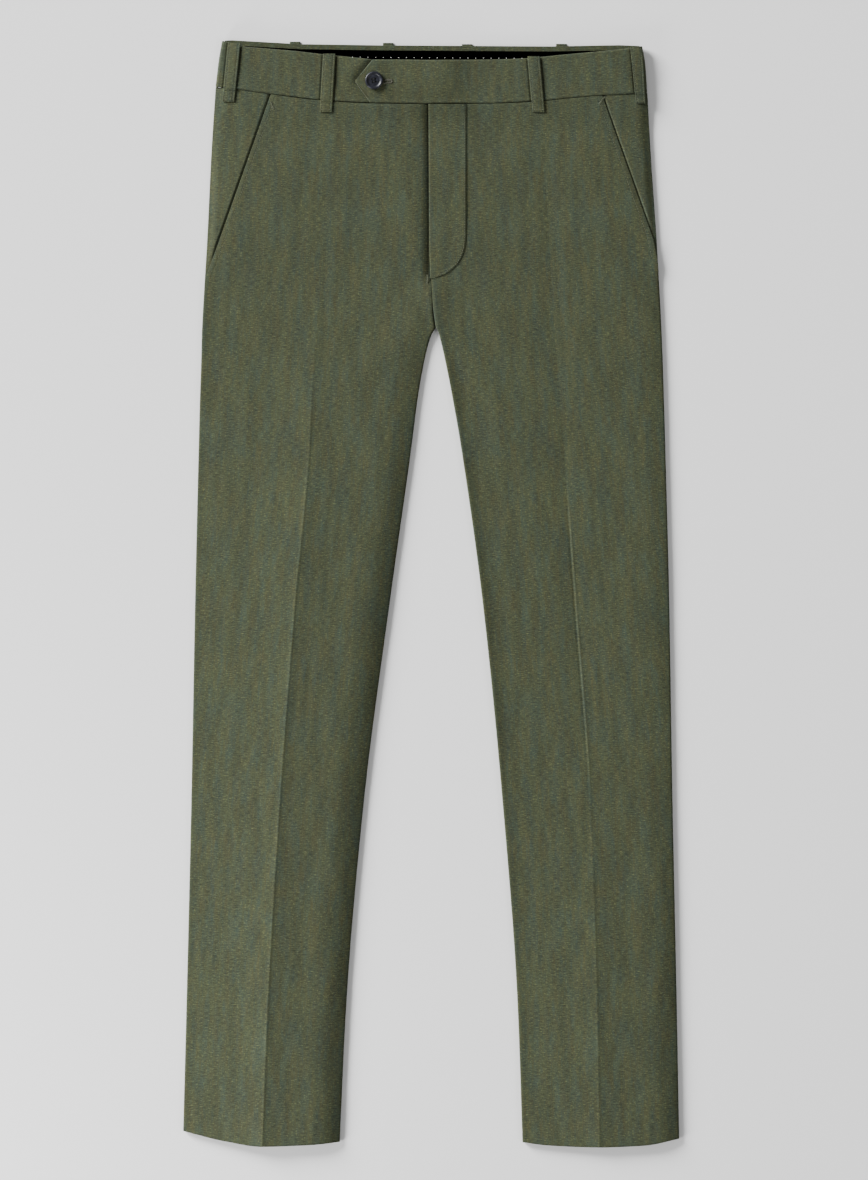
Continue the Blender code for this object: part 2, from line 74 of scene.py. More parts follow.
BAND = 2.6
BAND_FOLD = 2.9
BAND_FRONT = 8.6
BAND_RISE = 22.0
TAB_FACE = 11.5
TAB_ENDS = 8.0
TAB_SETTLES = 45.0
LINING = 1.0
LINING_HALF_WIDTH = 186.0
LINING_BELOW_EDGE = 5.2
LINING_END = 47.0

BACK_LOOP_WIDTH = 10.6
BACK_LOOP_END = 60.0
LOOP = 1.1
LOOP_CLEARANCE = 1.4 * GAP
LOOP_ARCH = 0.3
FLY = 1.2
FACING = 0.9
FACING_BELOW = 1.5
FACING_TUCK = 5.0
SIDE_LAP = 0.35
SIDE_LAP_REACH = 9.0
MOUTH_STEPS = (8.0, 5.5, 4.2, 3.4, 2.8, 2.3, 1.8, 1.4, 1.0, 0.6, 0.2, -0.6, -2.5)

BUTTON_PLACE = (-56.9, 41.0)
HOLE_RADIUS = 1.05
HOLE_SPREAD = 1.95
HOLE_TURN = 55.0

CROTCH = 287.6
CENTRE_SEAM = ((47.0, 2.0), (200.0, 0.8), (240.0, 0.3), (270.0, 2.2), (CROTCH, 4.7))
# Edges and crease of both legs, wearer's right first.
LEG_COLUMNS = ("down", "side_r", "crease_r", "inner_r", "inner_l", "crease_l", "side_l")
LEG = (
    (47.0, -215.4, -109.0, 2.0, 2.0, 114.0, 216.1),
    (110.0, -219.6, -110.0, 1.6, 1.6, 114.0, 219.6),
    (200.0, -224.0, -111.0, 0.8, 0.8, 118.0, 225.7),
    (240.0, -226.4, -112.3, 0.3, 0.3, 120.5, 228.0),
    (270.0, -228.2, -113.2, 2.2, 2.2, 122.3, 229.6),
    (CROTCH, -229.1, -114.0, 4.7, 4.7, 123.2, 230.5),
    (292.0, -229.3, -114.6, 2.0, 7.0, 123.4, 230.7),
    (300.0, -229.5, -115.4, -1.3, 9.3, 124.0, 231.0),
    (320.0, -230.0, -116.7, -6.4, 13.9, 125.6, 231.8),
    (360.0, -231.3, -119.4, -13.4, 21.7, 129.2, 233.1),
    (410.0, -232.6, -121.6, -19.8, 30.3, 133.0, 234.5),
    (560.0, -236.1, -135.5, -40.8, 51.2, 144.0, 238.3),
    (760.0, -239.9, -150.9, -66.8, 71.2, 159.0, 241.6),
    (960.0, -244.6, -162.9, -84.3, 86.2, 166.0, 245.8),
    (1106.0, -248.4, -168.7, -91.4, 91.4, 168.5, 248.4),
)
# Height of the pressed crease over the flat of the leg: (down, rise).
CREASE_RISE = {
    "r": ((250.0, 0.0), (340.0, 2.0), (450.0, 5.0), (600.0, 6.8), (1106.0, 6.8)),
    "l": (
        (90.0, 0.0),
        (150.0, -1.0),
        (600.0, -1.0),
        (690.0, 0.0),
        (800.0, 1.2),
        (900.0, 2.8),
        (1106.0, 4.2),
    ),
}
# The half left of a crease slopes evenly. The half right of it falls a little from the
# crease, stays level and rounds over to the leg's edge.
CREASE_SLOPE = 0.65
ROUND_FALL = 0.28
ROUND_SETTLES = 18.0
ROUND_REACH = 34.0
SLANT = {
    "r": ((53.0, -159.5), (65.0, -163.8), (213.0, -216.2), (240.0, -226.4)),
    "l": ((53.0, 170.5), (66.8, 175.1), (200.0, 222.8), (222.0, 226.97)),
}
WAIST_SEAM = (
    (-216.0, 47.0),
    (-193.3, 49.3),
    (-162.4, 53.8),
    (-111.4, 60.2),
    (-60.4, 63.3),
    (0.0, 64.0),
    (67.6, 63.3),
    (113.8, 60.8),
    (142.5, 57.8),
    (174.4, 55.4),
    (217.0, 53.0),
)
BAND_TOP = {
    "r": (
        (-209.0, 0.6),
        (-190.3, 6.5),
        (-135.3, 11.2),
        (-108.2, 14.4),
        (-58.8, 19.5),
        (-26.0, 20.4),
        (8.0, 21.0),
    ),
    "l": (
        (-75.5, 40.8),
        (-58.6, 20.0),
        (-26.0, 20.0),
        (0.0, 20.4),
        (70.8, 19.5),
        (94.7, 18.5),
        (142.5, 13.9),
        (174.4, 11.0),
        (198.2, 8.5),
        (211.3, 6.0),
    ),
}
BAND_FOOT = {
    "r": WAIST_SEAM,
    "l": ((-75.5, 42.4), (-61.0, 63.0)) + WAIST_SEAM[5:],
}
BACK_TOP = (
    (-209.0, 0.6),
    (-201.0, 0.0),
    (-171.0, 1.7),
    (-131.0, 4.0),
    (-51.0, 5.2),
    (119.0, 6.3),
    (189.0, 5.0),
    (211.3, 6.0),
)
BACK_SEAM = ((-216.0, 47.0), (-100.0, 48.6), (3.0, 49.6), (100.0, 50.4), (217.0, 53.0))
BAND_SIDE = {
    "r": ((0.0, -209.0), (0.4, -212.3), (1.0, -215.6)),
    "l": ((0.0, 211.3), (0.4, 214.6), (1.0, 216.3)),
}
HEM = {
    "r": (
        (-248.4, 1091.0),
        (-237.0, 1094.1),
        (-205.0, 1101.6),
        (-169.5, 1106.5),
        (-117.0, 1104.7),
        (-91.4, 1102.2),
    ),
    "l": (
        (91.4, 1102.4),
        (117.0, 1105.6),
        (168.5, 1107.4),
        (213.0, 1105.7),
        (248.4, 1099.0),
    ),
}
# The fly: (down, left edge, J-shaped right edge).
FLY_ROWS = (
    (64.4, -2.5, 35.5),
    (105.0, -2.3, 35.5),
    (150.0, -2.0, 35.5),
    (190.0, -1.8, 35.4),
    (204.0, -1.7, 34.7),
    (214.0, -1.6, 32.3),
    (222.0, -1.2, 28.4),
    (228.5, -1.0, 22.6),
    (233.6, -0.8, 15.4),
    (236.8, -0.6, 7.0),
    (238.6, -0.5, 1.6),
)
FRONT_LOOPS = (
    ("loop_front_r", (-101.5, 14.0, 12.1), (-105.0, 72.3, 12.1)),
    ("loop_front_l", (102.6, 16.6, 12.1), (107.7, 72.4, 12.1)),
    ("loop_side_r", (-196.6, 3.4, 12.4), (-202.6, 61.9, 12.1)),
    ("loop_side_l", (205.2, 6.6, 12.4), (209.8, 63.6, 9.6)),
)
BACK_LOOPS = (
    ("loop_back_outer_r", -136.0, 1.3),
    ("loop_back_inner_r", -42.8, 2.5),
    ("loop_back_inner_l", 36.2, 3.8),
    ("loop_back_outer_l", 130.5, 3.5),
)

# ------------------------------------------------- the cloth's own fine shape

TOP_ROW = 60.0
LAST_ROW = 1106.0
TOP_BEND = (60.0, 110.0)
HEM_BEND = (960.0, LAST_ROW)
FORK = (256.0, CROTCH)
SLANT_FOLD = 22.0
ROW_STEP = 4.0
ROLL_STEPS = 7
# Column places in from a folded edge, and out from the crease.
EDGE_STEPS = (3.0, 3.6, 4.2, 4.6, 5.0, 5.4, 5.9, 6.8, 8.4, 11.0)
CREASE_STEPS = (12.0, 8.0, 5.2, 3.4, 2.2, 1.3, 0.6)
FILL_COLUMNS = 12

# Soft troughs and ridges of the two fronts.
FOLD_COLUMNS = ("x", "down", "degrees from upright", "half length", "half width", "height")
FRONT_FOLDS = (
    (-60.0, 150.0, 4.0, 90.0, 26.0, -0.35),
    (-150.0, 170.0, 12.0, 70.0, 16.0, 0.30),
    (-38.0, 262.0, 34.0, 60.0, 9.0, -0.35),
    (-30.0, 300.0, 42.0, 46.0, 8.0, 0.30),
    (-62.0, 330.0, 20.0, 90.0, 22.0, 0.35),
    (-170.0, 420.0, 2.0, 160.0, 28.0, -0.30),
    (-190.0, 690.0, -2.0, 180.0, 24.0, 0.25),
    (-110.0, 720.0, 8.0, 150.0, 20.0, 0.25),
    (-205.0, 900.0, -3.0, 140.0, 20.0, -0.30),
    (-125.0, 930.0, 6.0, 120.0, 17.0, -0.30),
    (28.0, 300.0, -28.0, 70.0, 10.0, 0.55),
    (42.0, 268.0, -40.0, 50.0, 9.0, -0.30),
    (62.0, 180.0, -5.0, 100.0, 24.0, -0.30),
    (165.0, 150.0, -14.0, 80.0, 18.0, 0.30),
    (86.0, 400.0, -9.0, 150.0, 24.0, 0.30),
    (190.0, 420.0, 2.0, 170.0, 26.0, -0.25),
    (205.0, 620.0, 0.0, 170.0, 22.0, 0.35),
    (108.0, 700.0, -6.0, 150.0, 20.0, -0.30),
    (200.0, 900.0, 2.0, 150.0, 20.0, -0.30),
    (125.0, 940.0, -4.0, 120.0, 16.0, 0.25),
)
HEM_BREAKS = (
    (-205.0, 1046.0, 84.0, 40.0, 4.0, -0.28),
    (-128.0, 1052.0, 95.0, 36.0, 4.0, -0.22),
    (128.0, 1050.0, 86.0, 36.0, 4.0, -0.28),
    (208.0, 1053.0, 94.0, 40.0, 4.0, -0.22),
)
# The same for the backs, as hollows over the surface that they lie on.
BACK_FOLDS = (
    (-110.0, 240.0, 10.0, 120.0, 18.0, 0.6),
    (-60.0, 330.0, 34.0, 60.0, 12.0, 0.7),
    (-30.0, 210.0, 6.0, 70.0, 12.0, 0.5),
    (-150.0, 520.0, 4.0, 180.0, 22.0, 0.6),
    (-190.0, 800.0, -2.0, 160.0, 18.0, 0.6),
    (-125.0, 900.0, 5.0, 130.0, 15.0, 0.5),
    (112.0, 230.0, -9.0, 120.0, 18.0, 0.6),
    (62.0, 335.0, -36.0, 60.0, 12.0, 0.7),
    (28.0, 205.0, -5.0, 70.0, 12.0, 0.5),
    (165.0, 540.0, -2.0, 170.0, 22.0, 0.6),
    (196.0, 830.0, 2.0, 150.0, 18.0, 0.6),
    (120.0, 915.0, -4.0, 120.0, 15.0, 0.5),
)
# The folds along the legs: (radius of the fold across, height of the cloth at the fold
# over the flat of the leg, reach in from the fold).
FOLD_FORM = {
    "r": {"side": (1.0, 0.25, 8.0), "inner": (2.2, -1.7, 30.0)},
    "l": {"side": (2.0, -1.6, 24.0), "inner": (0.8, 1.9, 17.0)},
}
# The wearer's left leg lifts along its inner fold, most above the knee: (down, share).
INNER_LIFT = ((288.0, 0.2), (340.0, 1.0), (640.0, 1.0), (820.0, 0.55), (1106.0, 0.4))
BACK_SHOULDER = 0.0
MOUTH_ROUND = 0.6
# The cloth dips this far beside the fly's left edge and the tab's edges, within a reach.
FLY_SINK = 2.8
FLY_SINK_REACH = 11.0
FLY_STANDS = 0.7  # the fly's thickness at its edges and how it rounds down there
TAB_STEP_REACH = 20.0
# Below the fly the cloth stands up along the centre seam.
SEAT_RISE = 1.5
SEAT_REACH = 9.0
PAST_CROTCH = (CROTCH - 10.0, CROTCH + 25.0)
TAB_SINK = 2.4
TAB_SINK_REACH = 9.0
SEAM_RISE = 0.6  # the fronts rise to the waistband along their seam
LOOP_SINK = 0.6
LOOP_SINK_REACH = 1.1
# Outline of the tab, from its upper corner to its lower one: (down, x).
TAB_OUTLINE = ((19.0, -57.8), (40.8, -75.5), (42.4, -75.5), (63.0, -61.0))
TOPSTITCH_IN = 5.0


# ------------------------------------------------------------------- helpers


def ease(t):
    t = min(max(t, 0.0), 1.0)
    return t * t * (3.0 - 2.0 * t)


def between(ends, x):
    """0 before the first of two ends, 1 after the second, and smooth from one to the other."""
    return ease((x - ends[0]) / (ends[1] - ends[0]))


@lru_cache(maxsize=None)
def smooth_curve(points, x):
    """A value off a short table, by a curve that passes its points with no overshoot."""
    if x <= points[0][0]:
        return points[0][1]
    if x >= points[-1][0]:
        return points[-1][1]
    i = next(k for k in range(1, len(points)) if x <= points[k][0])
    slopes = [(b[1] - a[1]) / (b[0] - a[0]) for a, b in zip(points[:-1], points[1:])]

    def tangent(k):
        if k == 0:
            return slopes[0]
        if k == len(points) - 1:
            return slopes[-1]
        a, b = slopes[k - 1], slopes[k]
        return 0.0 if a * b <= 0 else 2.0 * a * b / (a + b)

    (x0, y0), (x1, y1) = points[i - 1], points[i]
    h = x1 - x0
    t = (x - x0) / h
    return (
        (2 * t**3 - 3 * t**2 + 1) * y0
        + (t**3 - 2 * t**2 + t) * h * tangent(i - 1)
        + (3 * t**2 - 2 * t**3) * y1
        + (t**3 - t**2) * h * tangent(i)
    )


def straight(points, x):
    """The same, by straight lines, for edges with a corner in them."""
    if x <= points[0][0]:
        return points[0][1]
    for (x0, y0), (x1, y1) in zip(points[:-1], points[1:]):
        if x <= x1:
            return y0 + (y1 - y0) * (x - x0) / (x1 - x0)
    return points[-1][1]


LEG_CURVES = {
    name: tuple((row[0], row[k]) for row in LEG)
    for k, name in enumerate(LEG_COLUMNS)
    if k
}


@lru_cache(maxsize=None)
def leg_x(which, side, down):
    if which == "inner" and down <= CROTCH:
        return smooth_curve(CENTRE_SEAM, down)
    return smooth_curve(LEG_CURVES[f"{which}_{side}"], down)


def outward(side):
    return -1.0 if side == "r" else 1.0


def place(x, down, z):
    return Vector((x * MM, (LENGTH / 2.0 - down) * MM, z * MM))


def bell(t):
    return math.exp(-t * t)


def soft_folds(folds, x, down):
    """Height of the listed troughs and ridges at this point."""
    total = 0.0
    for fx, fdown, degrees, half_length, half_width, height in folds:
        along_y, along_x = down - fdown, x - fx
        if abs(along_y) > 2.0 * half_length + 40.0 or abs(along_x) > 2.0 * half_length + 60.0:
            continue
        turn = math.radians(degrees)
        along = along_y * math.cos(turn) - along_x * math.sin(turn)
        across = along_x * math.cos(turn) + along_y * math.sin(turn)
        total += height * bell(across / half_width) * bell(along / half_length)
    return total


def ripple(x, down, size, seed):
    """Even noise from -1 to 1 over patches of this size."""
    return noise.noise(Vector((x / size, down / size, seed)))


# ----------------------------------------------------- heights of the layers


def back_face(down):
    return UNDER_LOOPS * (1.0 - between(LOOPS_END, down))


def back_relief(side, x, down):
    """How far the back's outer face stands off what it lies on."""
    edge = leg_x("side", side, down)
    from_side = abs(edge - x)
    from_inner = abs(x - leg_x("inner", side, down))
    near = ease(min(from_side, from_inner) / 18.0)
    crease = leg_x("crease", side, down)
    pressed = 0.45 * bell((x - crease) / 1.6) * between((420.0, 520.0), down)
    waves = 0.18 * (1.0 + ripple(x, down, 46.0, 3.0 + outward(side)))
    return near * (max(soft_folds(BACK_FOLDS, x, down), 0.0) + waves) + near * pressed


def crease_shape(side, x, down):
    """Height that the pressed crease gives at this point."""
    crease = leg_x("crease", side, down)
    beyond = (x - crease) * outward(side) > 0.0
    half = abs(leg_x("side" if beyond else "inner", side, down) - crease)
    from_crease = min(abs(x - crease), half)
    t = 1.0 - from_crease / half
    rise = smooth_curve(CREASE_RISE[side], down)
    if rise <= 0.0:
        return rise * t**5
    if beyond == (side == "r"):
        return rise * (CREASE_SLOPE * t + (1.0 - CREASE_SLOPE) * t**3)
    settled = 1.0 - ROUND_FALL * (1.0 - math.exp(-from_crease / ROUND_SETTLES))
    near_edge = max(0.0, 1.0 - (half - from_crease) / ROUND_REACH)
    return rise * settled * (1.0 - near_edge**2)


def front_face(side, x, down):
    """Height of the front's outer face, as the plain solid has it."""
    from_side = abs(leg_x("side", side, down) - x)
    lift = WAIST_LIFT * ease(from_side / LIFT_REACH) * (1.0 - between(LIFT_ENDS, down))
    return back_face(down) + STACK + lift + crease_shape(side, x, down)


def mouth_offset(side, x, down):
    """Distance in from the slanted pocket's mouth, and far away below it."""
    if down > SLANT[side][-1][0]:
        return 1000.0
    slope = 0.94
    return (straight(SLANT[side], down) - x) * outward(side) * slope


def fold_height(side, which, from_fold, down):
    """Height that the cloth loses or gains towards one of the leg's folds."""
    _, height, reach = FOLD_FORM[side][which]
    if (side, which) == ("l", "inner"):
        height *= smooth_curve(INNER_LIFT, down)
    near = max(0.0, 1.0 - from_fold / reach)
    return height * near * near * fold_share(side, down, which)


def front_relief(side, x, down):
    """The worn cloth's own fine shape over the plain solid."""
    edge = leg_x("side", side, down)
    from_side = abs(edge - x)
    from_inner = abs(x - leg_x("inner", side, down))
    seam = smooth_curve(WAIST_SEAM, x)
    below_seam = down - seam
    relief = soft_folds(FRONT_FOLDS, x, down) + soft_folds(HEM_BREAKS, x, down)
    relief += 0.16 * ripple(x, 0.55 * down, 34.0, 7.0 + outward(side))
    relief += 0.10 * ripple(x, 0.8 * down, 13.0, 17.0 + outward(side))
    # Short puckers hang from the waist seam.
    relief += 0.16 * bell(below_seam / 16.0) * ripple(x, 0.2 * down, 6.5, 31.0)
    relief += SEAM_RISE * bell(below_seam / 5.0) - 0.35 * bell(below_seam / 1.2)
    relief += tab_step(x) * (1.0 - ease(below_seam / TAB_STEP_REACH))
    # The cloth falls or lifts towards its folds.
    relief += fold_height(side, "side", from_side, down)
    relief += fold_height(side, "inner", from_inner, down)
    # The pressed edge.
    off = (x - leg_x("crease", side, down)) * outward(side)
    if side == "r":
        relief += 0.22 * bell(off / 1.3) * between((250.0, 420.0), down)
    else:
        relief += (0.35 * bell((off - 1.2) / 1.0) - 0.3 * bell((off + 0.8) / 1.0)) * (
            between((420.0, 520.0), down) * (1.0 - between((660.0, 800.0), down))
        )
        relief += 0.15 * bell(off / 1.3) * between((690.0, 800.0), down)
    # The pocket mouth stands up a little as far as its stitching.
    inside = mouth_offset(side, x, down)
    if inside < 30.0:
        relief -= 0.25 * (1.0 - between((0.0, 3.0), inside))
        relief -= 0.12 * bell((inside - TOPSTITCH_IN) / 0.6)
        relief += 0.10 * bell((inside - 6.5) / 2.0) * ripple(x, down, 5.0, 41.0)
    # Under the fly's left edge the cloth dips.
    if side == "r" and down < 250.0:
        dip = min(max(1.0 + (x + 2.2) / FLY_SINK_REACH, 0.0), 1.0) ** 2
        relief -= FLY_SINK * dip * (1.0 - between((232.0, 250.0), down))
    # The centre seam.
    if down < CROTCH + 30.0:
        below_fly = between((234.0, 250.0), down) * (1.0 - between(PAST_CROTCH, down))
        relief -= 0.7 * bell(from_inner / 1.5) * below_fly
        relief += SEAT_RISE * math.exp(-from_inner / SEAT_REACH) * below_fly
    # The turned-up hem is thicker.
    hem = smooth_curve(HEM[side], x)
    relief += 0.18 * between((hem - 53.0, hem - 49.0), down)
    return relief


def worn_face(side, x, down):
    return front_face(side, x, down) + front_relief(side, x, down)


def tab_step(x):
    """Half the step from the fronts up to the thick front end of the waistband."""
    step = 0.5 * (TAB_FACE - BAND_FRONT)
    return step * between((-75.0, -60.0), x) * (1.0 - between((TAB_ENDS, TAB_SETTLES), x))


def band_face(side, x, share):
    """Height of the front waistband's outer face."""
    fold = straight(BAND_SIDE[side], share)
    inside = (fold - x) * outward(side)
    middle = UNDER_LOOPS + BAND_FOLD
    if inside < BAND_FOLD:
        reach = BAND_FOLD - max(inside, 0.0)
        return middle + math.sqrt(max(BAND_FOLD**2 - reach**2, 0.0))
    flat = middle + BAND_FOLD
    height = flat + (BAND_FRONT - flat) * ease((inside - BAND_FOLD) / BAND_RISE)
    if side == "l":
        height += (TAB_FACE - BAND_FRONT) * (1.0 - between((TAB_ENDS, TAB_SETTLES), x))
    return height


def band_relief(side, x, share):
    """Soft unevenness of the waistband, with a firm roll along its two edges."""
    relief = 0.12 * ripple(x, 40.0 * share, 24.0, 53.0 + outward(side))
    relief += 0.16 * bell((share - 0.955) / 0.025) + 0.10 * bell((share - 0.05) / 0.03)
    relief -= 0.12 * bell((share - 0.90) / 0.03)
    if side == "r":
        down = straight(BAND_TOP["r"], x) * (1 - share) + straight(BAND_FOOT["r"], x) * share
        off_tab = straight(TAB_OUTLINE, down) - x
        depth = TAB_SINK * (1.0 - 0.6 * between((40.0, 50.0), down))
        relief -= depth * min(max(1.0 - off_tab / TAB_SINK_REACH, 0.0), 1.0) ** 2
    if side == "l":
        relief -= tab_step(x) * ease((share - 0.6) / 0.4)
        bx, bdown = BUTTON_PLACE
        down = straight(BAND_TOP["l"], x) * (1 - share) + straight(BAND_FOOT["l"], x) * share
        reach = math.hypot(x - bx, down - bdown)
        relief -= 0.35 * bell(reach / 8.0)
        relief += 0.2 * bell((down - bdown) / 2.2) * bell((x - bx - 22.0) / 14.0)
    relief *= ease(abs(straight(BAND_SIDE[side], share) - x) / 12.0)
    # Beside a belt loop the waistband dips.
    down = straight(BAND_TOP[side], x) * (1 - share) + straight(BAND_FOOT[side], x) * share
    for _, top, bottom in FRONT_LOOPS:
        along = (down - top[1]) / (bottom[1] - top[1])
        off = abs(x - top[0] - (bottom[0] - top[0]) * along) - 0.5 * bottom[2]
        if abs(off) < 4.0:
            relief -= LOOP_SINK * bell((off - 0.5) / LOOP_SINK_REACH)
    return relief


# -------------------------------------------------------------------- panels


def bent_row(side, row, x, top_edge):
    """Where a row lies at this x, with the waist and hem bending the rows near them."""
    near_top = 1.0 - between(TOP_BEND, row)
    near_hem = between(HEM_BEND, row)
    at_top = smooth_curve(top_edge, x) + SEAM_CLEARANCE
    at_hem = smooth_curve(HEM[side], x)
    return row + (at_top - TOP_ROW) * near_top + (at_hem - LAST_ROW) * near_hem


def fold_share(side, row, which):
    """How far the cloth turns down at this edge: 0 lies flat, 1 is the leg's fold."""
    if which == "inner":
        return between(FORK, row)
    if which == "back_side":
        return 1.0
    return ease((row - SLANT[side][-1][0]) / SLANT_FOLD)


def panel_edge(side, row, which, top_edge):
    """x of a panel's edge: the side seam or pocket slant, or the centre seam or inseam."""
    if which == "inner":
        down = bent_row(side, row, leg_x("inner", side, row), top_edge)
        return leg_x("inner", side, down) + outward(side) * 0.5 * GAP
    down = bent_row(side, row, leg_x("side", side, row), top_edge)
    if which == "side" and row < SLANT[side][-1][0]:
        down = bent_row(side, row, straight(SLANT[side], down), top_edge)
        return straight(SLANT[side], down)
    return leg_x("side", side, down)


def rolled(edge, flat_to, radius, fold, wall, offsets, wide=None):
    """Points from a rolled edge to the flat: x, turn-down, and the wall's x and z there."""
    inwards = math.copysign(1.0, flat_to - edge)
    round_edge = MOUTH_ROUND
    wide = radius if wide is None else fold * wide + (1.0 - fold) * round_edge
    points = []
    for k in range(ROLL_STEPS + 1):
        angle = 0.5 * math.pi * k / ROLL_STEPS
        across, drop = 1.0 - math.cos(angle), 1.0 - math.sin(angle)
        points.append(
            (
                edge + inwards * wide * across,
                (fold * radius + (1.0 - fold) * round_edge * drop) * drop,
                inwards * wall * fold * (1.0 - across),
                wall * (1.0 - fold * drop) - (1.0 - fold) * round_edge * drop * drop,
            )
        )
    points += [(edge + inwards * offset, 0.0, 0.0, wall) for offset in offsets]
    return points


def half_offsets(edge, crease, columns=FILL_COLUMNS):
    """Column places from the roll to the crease, close together at both."""
    width = abs(crease - edge)
    start, stop = EDGE_STEPS[-1], width - CREASE_STEPS[0]
    fill = [start + (stop - start) * (k + 1) / columns for k in range(columns - 1)]
    return list(EDGE_STEPS) + fill + [width - step for step in CREASE_STEPS]


def panel_rows(side, row_step):
    """Rows down a panel, close together at its ends and at the fork."""
    marks = [TOP_ROW, 62.0, 64.0, 67.0, 71.0, CROTCH - 8.0, CROTCH + 10.0, LAST_ROW - 5.0]
    rows = []
    for a, b, step in (
        (marks[4], marks[5], row_step),
        (marks[5], marks[6], 1.5),
        (marks[6], marks[7], row_step),
    ):
        count = max(1, round((b - a) / step))
        rows += [a + (b - a) * k / count for k in range(count)]
    ends = [LAST_ROW - 5.0, LAST_ROW - 3.0, LAST_ROW - 1.8, LAST_ROW - 1.0]
    return marks[:4] + rows + ends + [LAST_ROW - 0.45, LAST_ROW - 0.15, LAST_ROW]


def hem_roll(row):
    """How far the hem's folded edge has rounded down at this row."""
    reach = LAST_ROW - row
    return 0.0 if reach > 1.2 else 0.55 * (1.0 - math.sqrt(1.0 - (1.0 - reach / 1.2) ** 2))


def panel_row(side, row, front):
    """One row of a front or back panel: its face, its inside and its cloth places."""
    top_edge = WAIST_SEAM if front else BACK_SEAM
    outer_edge = "side" if front else "back_side"
    outer = panel_edge(side, row, outer_edge, top_edge)
    inner = panel_edge(side, row, "inner", top_edge)
    crease = leg_x("crease", side, row)
    outer_fold = fold_share(side, row, outer_edge)
    inner_fold = fold_share(side, row, "inner")
    outer_steps = half_offsets(outer, crease)
    inner_steps = half_offsets(inner, crease)
    form = FOLD_FORM[side] if front else {"side": (FOLD,), "inner": (FOLD,)}
    outer_roll = rolled(outer, crease, FOLD, outer_fold, WALL, outer_steps, form["side"][0])
    inner_roll = rolled(inner, crease, FOLD, inner_fold, WALL, inner_steps, form["inner"][0])
    points = outer_roll + [(crease, 0.0, 0.0, WALL)] + inner_roll[::-1]
    face, inside, at = [], [], []
    for k, (x, turned, wall_x, wall_z) in enumerate(points):
        down = bent_row(side, row, x, top_edge)
        turned *= 1.0 - 0.5 * GAP / FOLD
        if front:
            # The fold meets the back where it would with no fall or lift.
            which, fold = ("side", outer_fold) if k <= len(outer_roll) else ("inner", inner_fold)
            turned *= 1.0 + fold * fold_height(side, which, 0.0, down) / FOLD
        if front:
            z = worn_face(side, x, down) - turned - hem_roll(row)
            inner_z = z - wall_z + 2.0 * hem_roll(row)
        else:
            z = back_face(down) + back_relief(side, x, down) + turned + hem_roll(row)
            inner_z = z + wall_z - 2.0 * hem_roll(row)
        face.append((x, down, z))
        inside.append((x + wall_x, down, inner_z))
        at.append((x - leg_x("crease", side, down) + turned * outward(side), down))
    return face, inside, at


# ------------------------------------------------------------------ building


def collection(name):
    if name not in bpy.data.collections:
        bpy.context.scene.collection.children.link(bpy.data.collections.new(name))
    return bpy.data.collections[name]


def add_object(name, mesh, finish, group="trousers"):
    mesh.materials.append(finish)
    obj = bpy.data.objects.new(name, mesh)
    collection(group).objects.link(obj)
    return obj


def piece(obj, slot, *nodes):
    """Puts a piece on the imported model, in the place of these nodes."""
    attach(obj, "root")
    if nodes:
        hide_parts(*nodes)
    return obj


def smooth_mesh(name, points, faces, at=None, sharp=50.0):
    """A mesh with outward faces, smooth but for its sharp edges, and cloth places as UVs."""
    mesh = bpy.data.meshes.new(name)
    mesh.from_pydata(points, [], faces)
    bm = bmesh.new()
    bm.from_mesh(mesh)
    bmesh.ops.recalc_face_normals(bm, faces=bm.faces)
    bm.to_mesh(mesh)
    bm.free()
    if at is not None:
        layer = mesh.uv_layers.new(name="cloth")
        for loop in mesh.loops:
            u, v = at[loop.vertex_index]
            layer.data[loop.index].uv = (u * MM, v * MM)
    mesh.shade_smooth()
    mesh.set_sharp_from_angle(angle=math.radians(sharp))
    return mesh


def grid_faces(rows, columns, start=0):
    return [
        (
            start + i * columns + j,
            start + i * columns + j + 1,
            start + (i + 1) * columns + j + 1,
            start + (i + 1) * columns + j,
        )
        for i in range(rows - 1)
        for j in range(columns - 1)
    ]


def cloth(name, outer, inner, at, finish):
    """A closed piece of cloth between two grids of points, its outer face and its inside."""
    rows, columns = len(outer), len(outer[0])
    count = rows * columns
    points = [place(*p) for layer in (outer, inner) for line in layer for p in line]
    faces = grid_faces(rows, columns) + grid_faces(rows, columns, count)
    around = [(0, j) for j in range(columns - 1)]
    around += [(i, columns - 1) for i in range(rows - 1)]
    around += [(rows - 1, j) for j in range(columns - 1, 0, -1)]
    around += [(i, 0) for i in range(rows - 1, 0, -1)]
    ring = [i * columns + j for i, j in around]
    faces += [
        (a, b, b + count, a + count) for a, b in zip(ring, ring[1:] + ring[:1])
    ]
    places = [p for line in at for p in line] * 2
    return add_object(name, smooth_mesh(name, points, faces, places), finish)


def lay(obj, slot, nodes):
    """Puts a laid sheet of cloth on the imported model, in the place of these nodes."""
    piece(obj, slot, *nodes)
    return obj


def lofted(name, rings, places, finish, sharp=50.0):
    """A closed body through rings of points, with flat ends."""
    count = len(rings[0])
    points = [place(*p) for ring in rings for p in ring]
    faces = []
    for i in range(len(rings) - 1):
        for j in range(count):
            k = (j + 1) % count
            a, b = i * count, (i + 1) * count
            faces.append((a + j, a + k, b + k, b + j))
    last = (len(rings) - 1) * count
    half = count // 2
    for start in (0, last):
        for j in range(half - 1):
            k = count - 1 - j
            faces.append((start + j, start + j + 1, start + k - 1, start + k))
    at = [p for ring in places for p in ring]
    return add_object(name, smooth_mesh(name, points, faces, at, sharp), finish)


# ------------------------------------------------------------------ stitches


